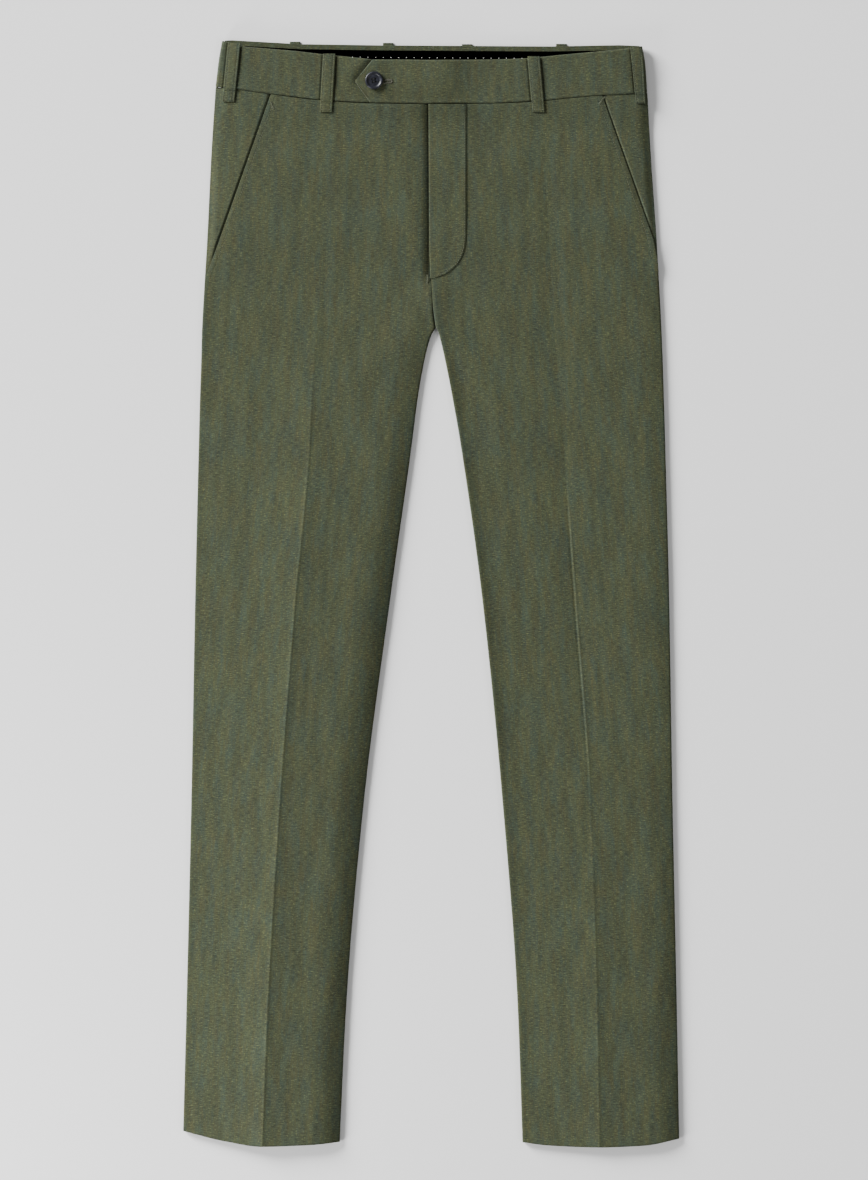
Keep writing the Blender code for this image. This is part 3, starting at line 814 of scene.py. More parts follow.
def capsule(points, faces, start, end, radius, rise):
    """Adds one stitch: a short strand that dips into the cloth at both ends."""
    first = len(points)
    run = end - start
    along = run.normalized()
    side = along.cross(Vector((0.0, 0.0, 1.0))).normalized()
    up = side.cross(along).normalized()
    sides = 6
    for share, size in ((0.0, 0.35), (0.14, 0.85), (0.5, 1.0), (0.86, 0.85), (1.0, 0.35)):
        lift = rise * 4.0 * share * (1.0 - share) - 0.5 * radius * (1.0 - size)
        centre = start + run * share + up * lift
        for k in range(sides):
            turn = 2.0 * math.pi * k / sides
            rim = side * math.cos(turn) + up * math.sin(turn)
            points.append(centre + rim * radius * size)
    for i in range(4):
        for k in range(sides):
            a, b = first + i * sides + k, first + i * sides + (k + 1) % sides
            faces.append((a, b, b + sides, a + sides))
    faces.append(tuple(first + k for k in range(sides)))
    faces.append(tuple(first + 4 * sides + k for k in range(sides)))


def stitches(name, strands, radius, finish, slot="wool", rise=0.12):
    """A joined mesh of strands, each (start, end) in x, down and z."""
    points, faces = [], []
    for start, end in strands:
        capsule(points, faces, place(*start), place(*end), radius * MM, rise * MM)
    mesh = bpy.data.meshes.new(name)
    mesh.from_pydata(points, [], faces)
    bm = bmesh.new()
    bm.from_mesh(mesh)
    bmesh.ops.recalc_face_normals(bm, faces=bm.faces)
    bm.to_mesh(mesh)
    bm.free()
    mesh.shade_smooth()
    return piece(add_object(name, mesh, finish, "sewing"), slot)


def along_path(path, pitch, filled, surface):
    """Strands along a flat path of (x, down), with heights from surface(x, down)."""
    lengths = [math.dist(a, b) for a, b in zip(path[:-1], path[1:])]
    total = sum(lengths)

    def spot(at):
        at = min(max(at, 0.0), total)
        for (a, b), length in zip(zip(path[:-1], path[1:]), lengths):
            if at <= length or b is path[-1]:
                t = at / length
                x, down = a[0] + (b[0] - a[0]) * t, a[1] + (b[1] - a[1]) * t
                return (x, down, surface(x, down))
            at -= length

    count = max(1, int(total / pitch))
    step = total / count
    return [
        (spot(k * step + 0.5 * (1 - filled) * step), spot((k + 1) * step - 0.5 * (1 - filled) * step))
        for k in range(count)
    ]


def bartack(centre, across, length, width, count, surface):
    """A dense zigzag of strands over a short bar along the direction across."""
    ax, ad = across
    strands = []
    for k in range(count):
        t = (k / (count - 1.0) - 0.5) * length
        sign = 1.0 if k % 2 else -1.0
        x, down = centre[0] + ax * t, centre[1] + ad * t
        a = (x - ad * 0.5 * width * sign, down + ax * 0.5 * width * sign)
        b = (x + ad * 0.5 * width * sign, down - ax * 0.5 * width * sign)
        strands.append(((*a, surface(*a)), (*b, surface(*b))))
    return strands


# ----------------------------------------------------------------- materials


def node(tree, kind, **values):
    made = tree.nodes.new(kind)
    for key, value in values.items():
        setattr(made, key, value)
    return made


def math_node(tree, operation, a, b=None, clamp=False):
    made = node(tree, "ShaderNodeMath", operation=operation, use_clamp=clamp)
    for socket, value in zip(made.inputs, (a, b)):
        if value is None:
            continue
        if isinstance(value, (int, float)):
            socket.default_value = value
        else:
            tree.links.new(value, socket)
    return made.outputs["Value"]


def ranged(tree, value, low, high, to_low=0.0, to_high=1.0):
    made = node(tree, "ShaderNodeMapRange", interpolation_type="SMOOTHSTEP")
    tree.links.new(value, made.inputs["Value"])
    made.inputs["From Min"].default_value = low
    made.inputs["From Max"].default_value = high
    made.inputs["To Min"].default_value = to_low
    made.inputs["To Max"].default_value = to_high
    return made.outputs["Result"]


def blend(tree, factor, a, b, kind="MIX"):
    made = node(tree, "ShaderNodeMix", data_type="RGBA", blend_type=kind)
    for socket, value in ((made.inputs[0], factor), (made.inputs[6], a), (made.inputs[7], b)):
        if isinstance(value, (int, float)):
            socket.default_value = value
        elif isinstance(value, tuple):
            socket.default_value = value
        else:
            tree.links.new(value, socket)
    return made.outputs[2]


def streaks(tree, where, wide, long, seed, detail=1.5):
    """Noise drawn out along the yarn: patches wide x long, in metres."""
    scale = node(tree, "ShaderNodeVectorMath", operation="MULTIPLY_ADD")
    tree.links.new(where, scale.inputs[0])
    scale.inputs[1].default_value = (1.0 / wide, 1.0 / long, 1.0)
    scale.inputs[2].default_value = (seed, 2.3 * seed, seed)
    made = node(tree, "ShaderNodeTexNoise", noise_dimensions="2D")
    made.inputs["Scale"].default_value = 1.0
    made.inputs["Detail"].default_value = detail
    made.inputs["Roughness"].default_value = 0.55
    tree.links.new(scale.outputs["Vector"], made.inputs["Vector"])
    return made.outputs["Fac"]


def group_tree(name, inputs, outputs):
    tree = bpy.data.node_groups.new(name, "ShaderNodeTree")
    for label, kind, default in inputs:
        socket = tree.interface.new_socket(label, in_out="INPUT", socket_type=kind)
        socket.default_value = default
    for label, kind in outputs:
        tree.interface.new_socket(label, in_out="OUTPUT", socket_type=kind)
    return tree, node(tree, "NodeGroupInput"), node(tree, "NodeGroupOutput")


def heather_group():
    """Worsted wool spun from several colours: streaked warp, dashed weft and flecks."""
    if "heathered wool" in bpy.data.node_groups:
        return bpy.data.node_groups["heathered wool"]
    colour, number = "NodeSocketColor", "NodeSocketFloat"
    tree, given, result = group_tree(
        "heathered wool",
        (
            ("Base", colour, (0.1, 0.1, 0.1, 1.0)),
            ("Brown yarn", colour, (0.1, 0.1, 0.1, 1.0)),
            ("Teal yarn", colour, (0.1, 0.1, 0.1, 1.0)),
            ("Pale fleck", colour, (0.1, 0.1, 0.1, 1.0)),
            ("Streaks", number, 1.0),
            ("Grain", number, 1.0),
        ),
        (("Color", colour), ("Roughness", number), ("Height", number)),
    )
    where = node(tree, "ShaderNodeUVMap", uv_map="cloth").outputs["UV"]
    streak, grain = given.outputs["Streaks"], given.outputs["Grain"]

    brown = ranged(tree, streaks(tree, where, 0.0075, 0.046, 3.1), 0.42, 0.70)
    brown_fine = ranged(tree, streaks(tree, where, 0.0018, 0.013, 8.7), 0.46, 0.72)
    teal = ranged(tree, streaks(tree, where, 0.0090, 0.055, 21.4), 0.42, 0.70)
    teal_fine = ranged(tree, streaks(tree, where, 0.0018, 0.015, 33.9), 0.47, 0.72)
    broad = ranged(tree, streaks(tree, where, 0.012, 0.060, 47.3), 0.3, 0.7, -1.0, 1.0)
    weft = streaks(tree, where, 0.0060, 0.0009, 57.7, 1.0)
    fleck = ranged(tree, streaks(tree, where, 0.0022, 0.0011, 71.2, 0.5), 0.60, 0.80)
    fine = streaks(tree, where, 0.0009, 0.0010, 83.8, 2.0)

    brown = math_node(tree, "MULTIPLY_ADD", brown, 0.24)
    brown.node.inputs[2].default_value = 0.0
    brown_fine = math_node(tree, "MULTIPLY", brown_fine, 0.26)
    teal = math_node(tree, "MULTIPLY", teal, 0.28)
    teal_fine = math_node(tree, "MULTIPLY", teal_fine, 0.26)
    brown = math_node(tree, "MULTIPLY", math_node(tree, "ADD", brown, brown_fine), streak, True)
    teal = math_node(tree, "MULTIPLY", math_node(tree, "ADD", teal, teal_fine), streak, True)
    mixed = blend(tree, brown, given.outputs["Base"], given.outputs["Brown yarn"])
    mixed = blend(tree, teal, mixed, given.outputs["Teal yarn"])
    mixed = blend(
        tree,
        math_node(tree, "MULTIPLY", math_node(tree, "MULTIPLY", fleck, 0.4), grain, True),
        mixed,
        given.outputs["Pale fleck"],
    )
    # Light and dark: broad bands, weft dashes and single fibres.
    shade = math_node(tree, "MULTIPLY", broad, 0.10)
    dashes = math_node(tree, "MULTIPLY", math_node(tree, "SUBTRACT", weft, 0.5), 1.35)
    fibres = math_node(tree, "MULTIPLY", math_node(tree, "SUBTRACT", fine, 0.5), 1.6)
    dashes = math_node(tree, "MULTIPLY", math_node(tree, "ADD", dashes, fibres), grain)
    shade = math_node(tree, "ADD", math_node(tree, "ADD", shade, dashes), 1.0)
    grey = node(tree, "ShaderNodeCombineColor")
    for socket in grey.inputs:
        tree.links.new(shade, socket)
    mixed = blend(tree, 1.0, mixed, grey.outputs["Color"], "MULTIPLY")
    tree.links.new(mixed, result.inputs["Color"])
    rough = ranged(tree, fine, 0.25, 0.75, 0.80, 0.95)
    tree.links.new(rough, result.inputs["Roughness"])
    # Threads of a plain weave, uneven from yarn to yarn.
    parts = node(tree, "ShaderNodeSeparateXYZ")
    tree.links.new(where, parts.inputs["Vector"])
    warp = math_node(tree, "MULTIPLY", parts.outputs["X"], 2.0 * math.pi / 0.00062)
    pick = math_node(tree, "MULTIPLY", parts.outputs["Y"], 2.0 * math.pi / 0.00068)
    warp = math_node(tree, "SINE", warp)
    pick = math_node(tree, "SINE", pick)
    weave = math_node(tree, "MULTIPLY", warp, pick)
    weave = math_node(tree, "MULTIPLY", weave, 0.10)
    height = math_node(tree, "ADD", weave, math_node(tree, "MULTIPLY", weft, 0.5))
    height = math_node(tree, "ADD", height, math_node(tree, "MULTIPLY", fine, 0.6))
    tree.links.new(height, result.inputs["Height"])
    return tree


def principled(name):
    made = bpy.data.materials.new(name)
    made.use_nodes = True
    return made, made.node_tree, made.node_tree.nodes["Principled BSDF"]


def wool(streak=1.0, grain=1.0, name="heathered_wool"):
    """The trousers' cloth, with a soft nap that lightens where it turns away."""
    if name in bpy.data.materials:
        return bpy.data.materials[name]
    look = bpy.context.scene.trousers_look
    made, tree, shader = principled(name)
    cloth_node = node(tree, "ShaderNodeGroup", node_tree=heather_group())
    for label, value in (
        ("Base", look.wool),
        ("Brown yarn", look.brown_yarn),
        ("Teal yarn", look.teal_yarn),
        ("Pale fleck", look.pale_fleck),
    ):
        cloth_node.inputs[label].default_value = (*value, 1.0)
    cloth_node.inputs["Streaks"].default_value = streak
    cloth_node.inputs["Grain"].default_value = grain
    tree.links.new(cloth_node.outputs["Color"], shader.inputs["Base Color"])
    tree.links.new(cloth_node.outputs["Roughness"], shader.inputs["Roughness"])
    shader.inputs["Specular IOR Level"].default_value = 0.25
    shader.inputs["Sheen Weight"].default_value = 0.06
    shader.inputs["Sheen Roughness"].default_value = 0.5
    bump = node(tree, "ShaderNodeBump")
    bump.inputs["Strength"].default_value = 0.55
    bump.inputs["Distance"].default_value = 0.0003
    tree.links.new(cloth_node.outputs["Height"], bump.inputs["Height"])
    tree.links.new(bump.outputs["Normal"], shader.inputs["Normal"])
    return made


def lining_finish():
    """Smooth dark lining with a fine cross rib."""
    if "waist_lining" in bpy.data.materials:
        return bpy.data.materials["waist_lining"]
    look = bpy.context.scene.trousers_look
    made, tree, shader = principled("waist_lining")
    where = node(tree, "ShaderNodeUVMap", uv_map="cloth").outputs["UV"]
    thread = streaks(tree, where, 0.004, 0.0006, 12.0)
    dark = tuple(0.6 * c for c in look.lining)
    shade = blend(tree, thread, (*dark, 1.0), (*look.lining, 1.0))
    tree.links.new(shade, shader.inputs["Base Color"])
    tree.links.new(ranged(tree, thread, 0.3, 0.7, 0.85, 0.95), shader.inputs["Roughness"])
    shader.inputs["Specular IOR Level"].default_value = 0.0
    bump = node(tree, "ShaderNodeBump")
    bump.inputs["Strength"].default_value = 0.4
    bump.inputs["Distance"].default_value = 0.0002
    tree.links.new(thread, bump.inputs["Height"])
    tree.links.new(bump.outputs["Normal"], shader.inputs["Normal"])
    return made


def thread_finish(name, colour):
    """Twisted sewing thread."""
    if name in bpy.data.materials:
        return bpy.data.materials[name]
    made, tree, shader = principled(name)
    where = node(tree, "ShaderNodeTexCoord").outputs["Object"]
    ply = node(tree, "ShaderNodeTexNoise")
    ply.inputs["Scale"].default_value = 2500.0
    tree.links.new(where, ply.inputs["Vector"])
    dark = tuple(0.6 * c for c in colour)
    shade = blend(tree, ply.outputs["Fac"], (*dark, 1.0), (*colour, 1.0))
    tree.links.new(shade, shader.inputs["Base Color"])
    shader.inputs["Roughness"].default_value = 0.6
    bump = node(tree, "ShaderNodeBump")
    bump.inputs["Strength"].default_value = 0.3
    bump.inputs["Distance"].default_value = 0.0001
    tree.links.new(ply.outputs["Fac"], bump.inputs["Height"])
    tree.links.new(bump.outputs["Normal"], shader.inputs["Normal"])
    return made


def button_finish():
    """Polished dark resin with a faint cloudy grain."""
    if "button_resin" in bpy.data.materials:
        return bpy.data.materials["button_resin"]
    look = bpy.context.scene.trousers_look
    made, tree, shader = principled("button_resin")
    where = node(tree, "ShaderNodeTexCoord").outputs["Object"]
    cloud = node(tree, "ShaderNodeTexNoise")
    cloud.inputs["Scale"].default_value = 260.0
    cloud.inputs["Detail"].default_value = 3.0
    tree.links.new(where, cloud.inputs["Vector"])
    light = tuple(2.2 * c for c in look.button)
    shade = blend(
        tree, ranged(tree, cloud.outputs["Fac"], 0.4, 0.75), (*look.button, 1.0), (*light, 1.0)
    )
    tree.links.new(shade, shader.inputs["Base Color"])
    rough = ranged(tree, cloud.outputs["Fac"], 0.3, 0.7, 0.34, 0.46)
    tree.links.new(rough, shader.inputs["Roughness"])
    shader.inputs["Specular IOR Level"].default_value = 0.3
    return made


# ------------------------------------------------------------------ settings


def millimetres(name, description, value, low, high):
    return FloatProperty(
        name=name,
        description=description,
        default=value * MM,
        min=low * MM,
        max=high * MM,
        subtype="DISTANCE",
        unit="LENGTH",
        precision=5,
    )


def colour(name, description, value):
    return FloatVectorProperty(
        name=name, description=description, default=value, min=0.0, max=1.0, subtype="COLOR"
    )


class TrousersSewing(bpy.types.PropertyGroup):
    """Sizes of the stitching."""

    topstitch_pitch: millimetres("Topstitch", "Length of one topstitch", 2.6, 1.5, 5.0)
    loop_pitch: millimetres("Loop stitch", "Length of one stitch on a belt loop", 2.2, 1.5, 4.0)
    thread: millimetres("Thread", "Radius of the sewing thread", 0.2, 0.1, 0.5)
    pick_pitch: millimetres("Pick stitch", "Distance between pick stitches", 7.7, 4.0, 15.0)


class TrousersLook(bpy.types.PropertyGroup):
    """Colours of the cloth, lining, button and thread."""

    wool: colour("Wool", "Main colour of the wool", (0.0276, 0.0338, 0.0146))
    brown_yarn: colour("Brown yarn", "Warm yarns in the heather", (0.0385, 0.0340, 0.0115))
    teal_yarn: colour("Teal yarn", "Cool yarns in the heather", (0.0190, 0.0345, 0.0285))
    pale_fleck: colour("Pale fleck", "Pale yellow-green flecks", (0.0860, 0.0930, 0.0350))
    seam_thread: colour("Thread", "Sewing thread", (0.066, 0.075, 0.040))
    pick_thread: colour("Pick thread", "White thread inside the waistband", (0.7, 0.7, 0.66))
    lining: colour("Lining", "Lining of the waistband", (0.0004, 0.0004, 0.0004))
    button: colour("Button", "Resin of the button", (0.0060, 0.0065, 0.0100))
    floor: colour("Floor", "Surface under the trousers", (0.72, 0.72, 0.72))


# ----------------------------------------------------------------- operators


class TROUSERS_OT_panels(bpy.types.Operator):
    """Make the two fronts and the two backs"""

    bl_idname = "trousers.panels"
    bl_label = "Fronts and backs"

    def execute(self, context):
        for name, side, front in (
            ("front_right", "r", True),
            ("front_left", "l", True),
            ("back_right", "r", False),
            ("back_left", "l", False),
        ):
            step = ROW_STEP if front else 2.0 * ROW_STEP
            rows = [panel_row(side, row, front) for row in panel_rows(side, step)]
            face, inside, at = ([row[k] for row in rows] for k in range(3))
            obj = cloth(name + "_cloth", face, inside, at, wool())
            rests = [f"back_{'right' if side == 'r' else 'left'}_cloth"] if front else []
            if front:
                rests.append(f"pocket_facing_{side}_cloth")
            lay(obj, "wool", [name])
        return {"FINISHED"}


class TROUSERS_OT_pockets(bpy.types.Operator):
    """Make the facings that show outside the slanted pocket mouths"""

    bl_idname = "trousers.pockets"
    bl_label = "Pocket facings"

    def execute(self, context):
        for side in ("r", "l"):
            end = SLANT[side][-1][0] - 2.0
            depth = STACK - FACING_BELOW - FOLD - 0.5 * GAP
            count = 46
            face, inside, at = [], [], []
            for k in range(count + 1):
                row = TOP_ROW + (end - TOP_ROW) * k / count
                down = bent_row(side, row, leg_x("side", side, row), WAIST_SEAM)
                edge = leg_x("side", side, down)
                tucked = straight(SLANT[side], down) - outward(side) * FACING_TUCK
                width = abs(tucked - edge)
                steps = facing_steps(depth, width)
                line, inner_line, places = [], [], []
                for x, turned, wall_x, wall_z in rolled(
                    edge, tucked, depth, 1.0, FACING, steps
                ):
                    spot = bent_row(side, row, x, WAIST_SEAM)
                    # At the side the facing starts up under the waistband's fold.
                    by_side = 1.0 - ease(abs(x - edge) / SIDE_LAP_REACH)
                    spot -= SIDE_LAP * by_side * (1.0 - ease((row - TOP_ROW) / 6.0))
                    z = front_face(side, x, spot) - FACING_BELOW - turned
                    z += facing_relief(side, x, spot)
                    line.append((x, spot, z))
                    inner_line.append((x + wall_x, spot, z - wall_z))
                    places.append((x - leg_x("crease", side, spot) + 300.0, spot))
                face.append(line)
                inside.append(inner_line)
                at.append(places)
            obj = cloth(f"pocket_facing_{side}_cloth", face, inside, at, wool())
            lay(obj, "wool", [f"pocket_facing_{side}"])
        return {"FINISHED"}


def facing_steps(depth, width):
    """Column places across a facing, close together at the mouth's edge."""
    by_mouth = [FACING_TUCK + step for step in MOUTH_STEPS]
    room = width - depth
    squeeze = min(1.0, 0.8 * room / by_mouth[0])
    fine = [width - step * squeeze for step in by_mouth] + [width]
    count = 9
    return [depth + (fine[0] - depth) * k / count for k in range(1, count)] + fine


def facing_relief(side, x, down):
    from_side = abs(leg_x("side", side, down) - x)
    seam = smooth_curve(WAIST_SEAM, x)
    relief = -0.7 * (1.0 - ease(from_side / 8.0)) - 0.4 * bell((down - seam) / 2.0)
    outside = -mouth_offset(side, x, down)
    relief += FACING_BELOW * between((0.5, 2.6), outside) * ease(from_side / 9.0)
    return relief + 0.10 * ripple(x, 0.5 * down, 16.0, 61.0) * ease(from_side / 6.0)


class TROUSERS_OT_fly(bpy.types.Operator):
    """Make the J-shaped fly over the centre seam"""

    bl_idname = "trousers.fly"
    bl_label = "Fly"

    def execute(self, context):
        first, last = FLY_ROWS[0][0], FLY_ROWS[-1][0]
        count = 70
        left_edge = tuple((down, left) for down, left, _ in FLY_ROWS)
        right_edge = tuple((down, right) for down, _, right in FLY_ROWS)
        face, inside, at = [], [], []
        for k in range(count + 1):
            t = k / count
            down = first + (last - first) * (t if t < 0.0 else 1.0 - (1.0 - t) ** 1.5)
            left, right = smooth_curve(left_edge, down), smooth_curve(right_edge, down)
            line, inner_line, places = [], [], []
            for share, drop in FLY_SECTION:
                x = left + (right - left) * share
                side = "r" if x < leg_x("inner", "r", down) else "l"
                flat = front_face(side, x, down) + 0.5 * GAP + FLY_STANDS
                from_edge = min(x - left, right - x)
                z = flat + fly_relief(x, down, from_edge) - drop
                line.append((x, down, z))
                inner_line.append((x, down, flat - FLY_STANDS))
                places.append((x - 40.0, down))
            face.append(line)
            inside.append(inner_line)
            at.append(places)
        obj = cloth("fly_cloth", face, inside, at, wool())
        flat = (38.2, last - first + 2.0)
        lay(obj, "wool", ["fly"])
        return {"FINISHED"}


# Across the fly: (share of its width, how far its edge rounds down).
FLY_SECTION = (
    (0.0, 0.55),
    (0.004, 0.3),
    (0.011, 0.1),
    (0.022, 0.0),
    (0.05, 0.0),
    (0.1, 0.0),
    (0.18, 0.0),
    (0.3, 0.0),
    (0.42, 0.0),
    (0.54, 0.0),
    (0.66, 0.0),
    (0.76, 0.0),
    (0.84, 0.0),
    (0.9, 0.0),
    (0.94, 0.0),
    (0.955, 0.05),
    (0.97, 0.15),
    (0.985, 0.25),
    (1.0, 0.42),
)


def fly_relief(x, down, from_edge):
    seam = smooth_curve(WAIST_SEAM, x)
    relief = 0.10 * ripple(x, 0.5 * down, 15.0, 23.0) - 0.3 * bell((down - seam) / 1.5)
    relief += tab_step(x) * (1.0 - ease((down - seam) / TAB_STEP_REACH))
    relief += SEAM_RISE * bell((down - seam) / 5.0)
    return relief + 0.08 * bell((from_edge - 2.0) / 1.2)


class TROUSERS_OT_waistband(bpy.types.Operator):
    """Make both halves of the waistband and the lining inside its back"""

    bl_idname = "trousers.waistband"
    bl_label = "Waistband"

    def execute(self, context):
        for side in ("r", "l"):
            rings, places = band_rings(side)
            name = "waistband_right" if side == "r" else "waistband_left"
            obj = lofted(name + "_cloth", rings, places, wool())
            lay(obj, "wool", [name])
        make_lining()
        return {"FINISHED"}


# Round the waistband's section: (share of its height, depth from its face, along face).
BAND_FACE_SHARES = (0.03, 0.05, 0.08, 0.14, 0.24, 0.36, 0.5, 0.64, 0.76, 0.85, 0.9, 0.94, 0.965)
BAND_EDGE_TOP = ((0.0, 1.0), (0.003, 0.6), (0.009, 0.28), (0.018, 0.08))
BAND_EDGE_FOOT = ((0.982, 0.06), (0.991, 0.25), (0.997, 0.5), (1.0, 0.85))


def band_section():
    face = list(BAND_EDGE_TOP) + [(s, 0.0) for s in BAND_FACE_SHARES] + list(BAND_EDGE_FOOT)
    inside = [(share, BAND - 0.0) for share, _ in reversed(face)]
    inside[0] = (1.0, BAND - 0.5)
    inside[-1] = (0.0, BAND - 0.5)
    return face + inside


def band_rings(side):
    """The waistband from its end at the centre front, round the side, to the centre back."""
    end = 6.0 if side == "r" else -75.5
    centre_back = leg_x("inner", side, 50.0) + outward(side) * 0.02
    middle = UNDER_LOOPS + BAND_FOLD
    section = band_section()
    near_fold = [0.9, 0.92, 0.94, 0.96, 0.98, 1.0]
    if side == "r":
        stations = [0.0, 0.002, 0.006] + [0.012 + 0.86 * k / 60.0 for k in range(61)] + near_fold
    else:
        stations = [0.0, 0.0012, 0.003, 0.006, 0.01, 0.015, 0.021, 0.028, 0.036, 0.045, 0.05]
        stations += [0.0525, 0.055, 0.0575, 0.06, 0.065]
        stations += [0.072 + 0.80 * k / 74.0 for k in range(75)] + near_fold
    # Columns stand close together beside the belt loops.
    length = abs(straight(BAND_SIDE[side], 0.5) - outward(side) * BAND_FOLD - end)
    for _, top, bottom in FRONT_LOOPS:
        if top[0] * outward(side) < 0.0:
            continue
        for edge in (-0.5 * bottom[2], 0.5 * bottom[2]):
            reach = abs(0.5 * (top[0] + bottom[0]) + edge - end)
            stations += [(reach + 0.6 * k) / length for k in range(-7, 8)]
    stations = sorted(station for station in stations if station <= 1.0)
    rings, places = [], []
    for station in stations:
        ring, spots = [], []
        for share, depth in section:
            fold = straight(BAND_SIDE[side], share)
            x = end + (fold - outward(side) * BAND_FOLD - end) * station
            top = straight(BAND_TOP[side], x)
            foot = straight(BAND_FOOT[side], x)
            taper = min(1.0, (foot - top) / 12.0)
            z = band_face(side, x, share) - depth
            if depth < 1.2:
                z += band_relief(side, x, share) * taper
            end_round = 0.45 * (1.0 - min(station / 0.006, 1.0)) ** 2
            z -= end_round if depth < 1.2 else -end_round
            ring.append((x, top + (foot - top) * share, z))
            spots.append(((x - end) * outward(side), 44.0 * share + 700.0))
        rings.append(ring)
        places.append(spots)
    run = abs(rings[-1][0][0] - end)
    for k in range(1, 12):
        angle = math.radians(90.0 - 15.0 * k)
        ring, spots = [], []
        for share, depth in section:
            centre = straight(BAND_SIDE[side], share) - outward(side) * BAND_FOLD
            radius = BAND_FOLD - depth
            x = centre + outward(side) * radius * math.cos(angle)
            top = straight(BAND_TOP[side], x)
            foot = straight(BAND_FOOT[side], x)
            z = middle + radius * math.sin(angle)
            ring.append((x, top + (foot - top) * share, z))
            arc = BAND_FOLD * math.radians(15.0 * k)
            spots.append((run + arc, 44.0 * share + 700.0))
        rings.append(ring)
        places.append(spots)
    run += math.pi * BAND_FOLD
    for k in range(31):
        ring, spots = [], []
        for share, depth in section:
            fold = straight(BAND_SIDE[side], share) - outward(side) * BAND_FOLD
            x = fold + (centre_back - fold) * k / 30.0
            top = straight(BACK_TOP, x)
            foot = straight(BACK_SEAM, x)
            ring.append((x, top + (foot - top) * share, UNDER_LOOPS + depth))
            spots.append((run + abs(x - fold), 44.0 * share + 700.0))
        rings.append(ring)
        places.append(spots)
    return rings, places


def make_lining():
    top_face = UNDER_LOOPS + BAND + GAP + LINING
    face, inside, at = [], [], []
    for share in [k / 14.0 for k in range(15)]:
        line, inner_line, places = [], [], []
        for k in range(97):
            x = LINING_HALF_WIDTH * (k / 48.0 - 1.0)
            top = straight(BACK_TOP, x) + LINING_BELOW_EDGE
            down = top + (LINING_END - top) * share
            near = min(share * 8.0, 1.0)
            z = top_face + 0.22 * near * ripple(x, down, 12.0, 91.0) - 0.35 * (1.0 - near)
            line.append((x, down, z))
            inner_line.append((x, down, top_face - LINING))
            places.append((x, down))
        face.append(line)
        inside.append(inner_line)
        at.append(places)
    obj = cloth("waistband_lining_cloth", face, inside, at, lining_finish())
    lay(obj, "lining", ["waistband_lining"])


class TROUSERS_OT_loops(bpy.types.Operator):
    """Make the eight belt loops, with edge stitching on the four front ones"""

    bl_idname = "trousers.loops"
    bl_label = "Belt loops"

    def execute(self, context):
        for loop in FRONT_LOOPS:
            front_loop(*loop)
        for loop in BACK_LOOPS:
            back_loop(*loop)
        return {"FINISHED"}


def loop_profile(half_width):
    """Across a belt loop: (offset across, height), with a stitched groove by each edge."""
    c = 0.45
    flat = half_width - c
    groove = half_width - 1.7
    across = [-flat, -groove - 0.45, -groove, -groove + 0.45, -0.5 * groove, -0.18 * groove]
    across += [-x for x in reversed(across)]
    top = []
    for x in reversed(across):
        dip = 0.22 * bell((abs(x) - groove) / 0.35)
        crown = 0.10 * bell(x / (0.6 * half_width))
        top.append((x, LOOP - dip + crown))
    return (
        [(-half_width, c)]
        + [(x, 0.0) for x in across]
        + [(half_width, c), (half_width, LOOP - c), (half_width - 0.13, LOOP - 0.13)]
        + top
        + [(-half_width + 0.13, LOOP - 0.13), (-half_width, LOOP - c)]
    )


def strip_body(name, rings, node_name):
    """A belt loop through rings of (x, down, z), with its length down the cloth."""
    count = len(rings[0])
    points = [place(*p) for ring in rings for p in ring]
    faces = []
    for i in range(len(rings) - 1):
        for j in range(count):
            k = (j + 1) % count
            a, b = i * count, (i + 1) * count
            faces.append((a + j, a + k, b + k, b + j))
    last = (len(rings) - 1) * count
    faces += [tuple(range(count)), tuple(range(last, last + count))]
    at = [(p[0] + 500.0, p[1] + 1500.0) for ring in rings for p in ring]
    obj = add_object(name, smooth_mesh(name, points, faces, at), wool())
    lay(obj, "wool", [node_name])


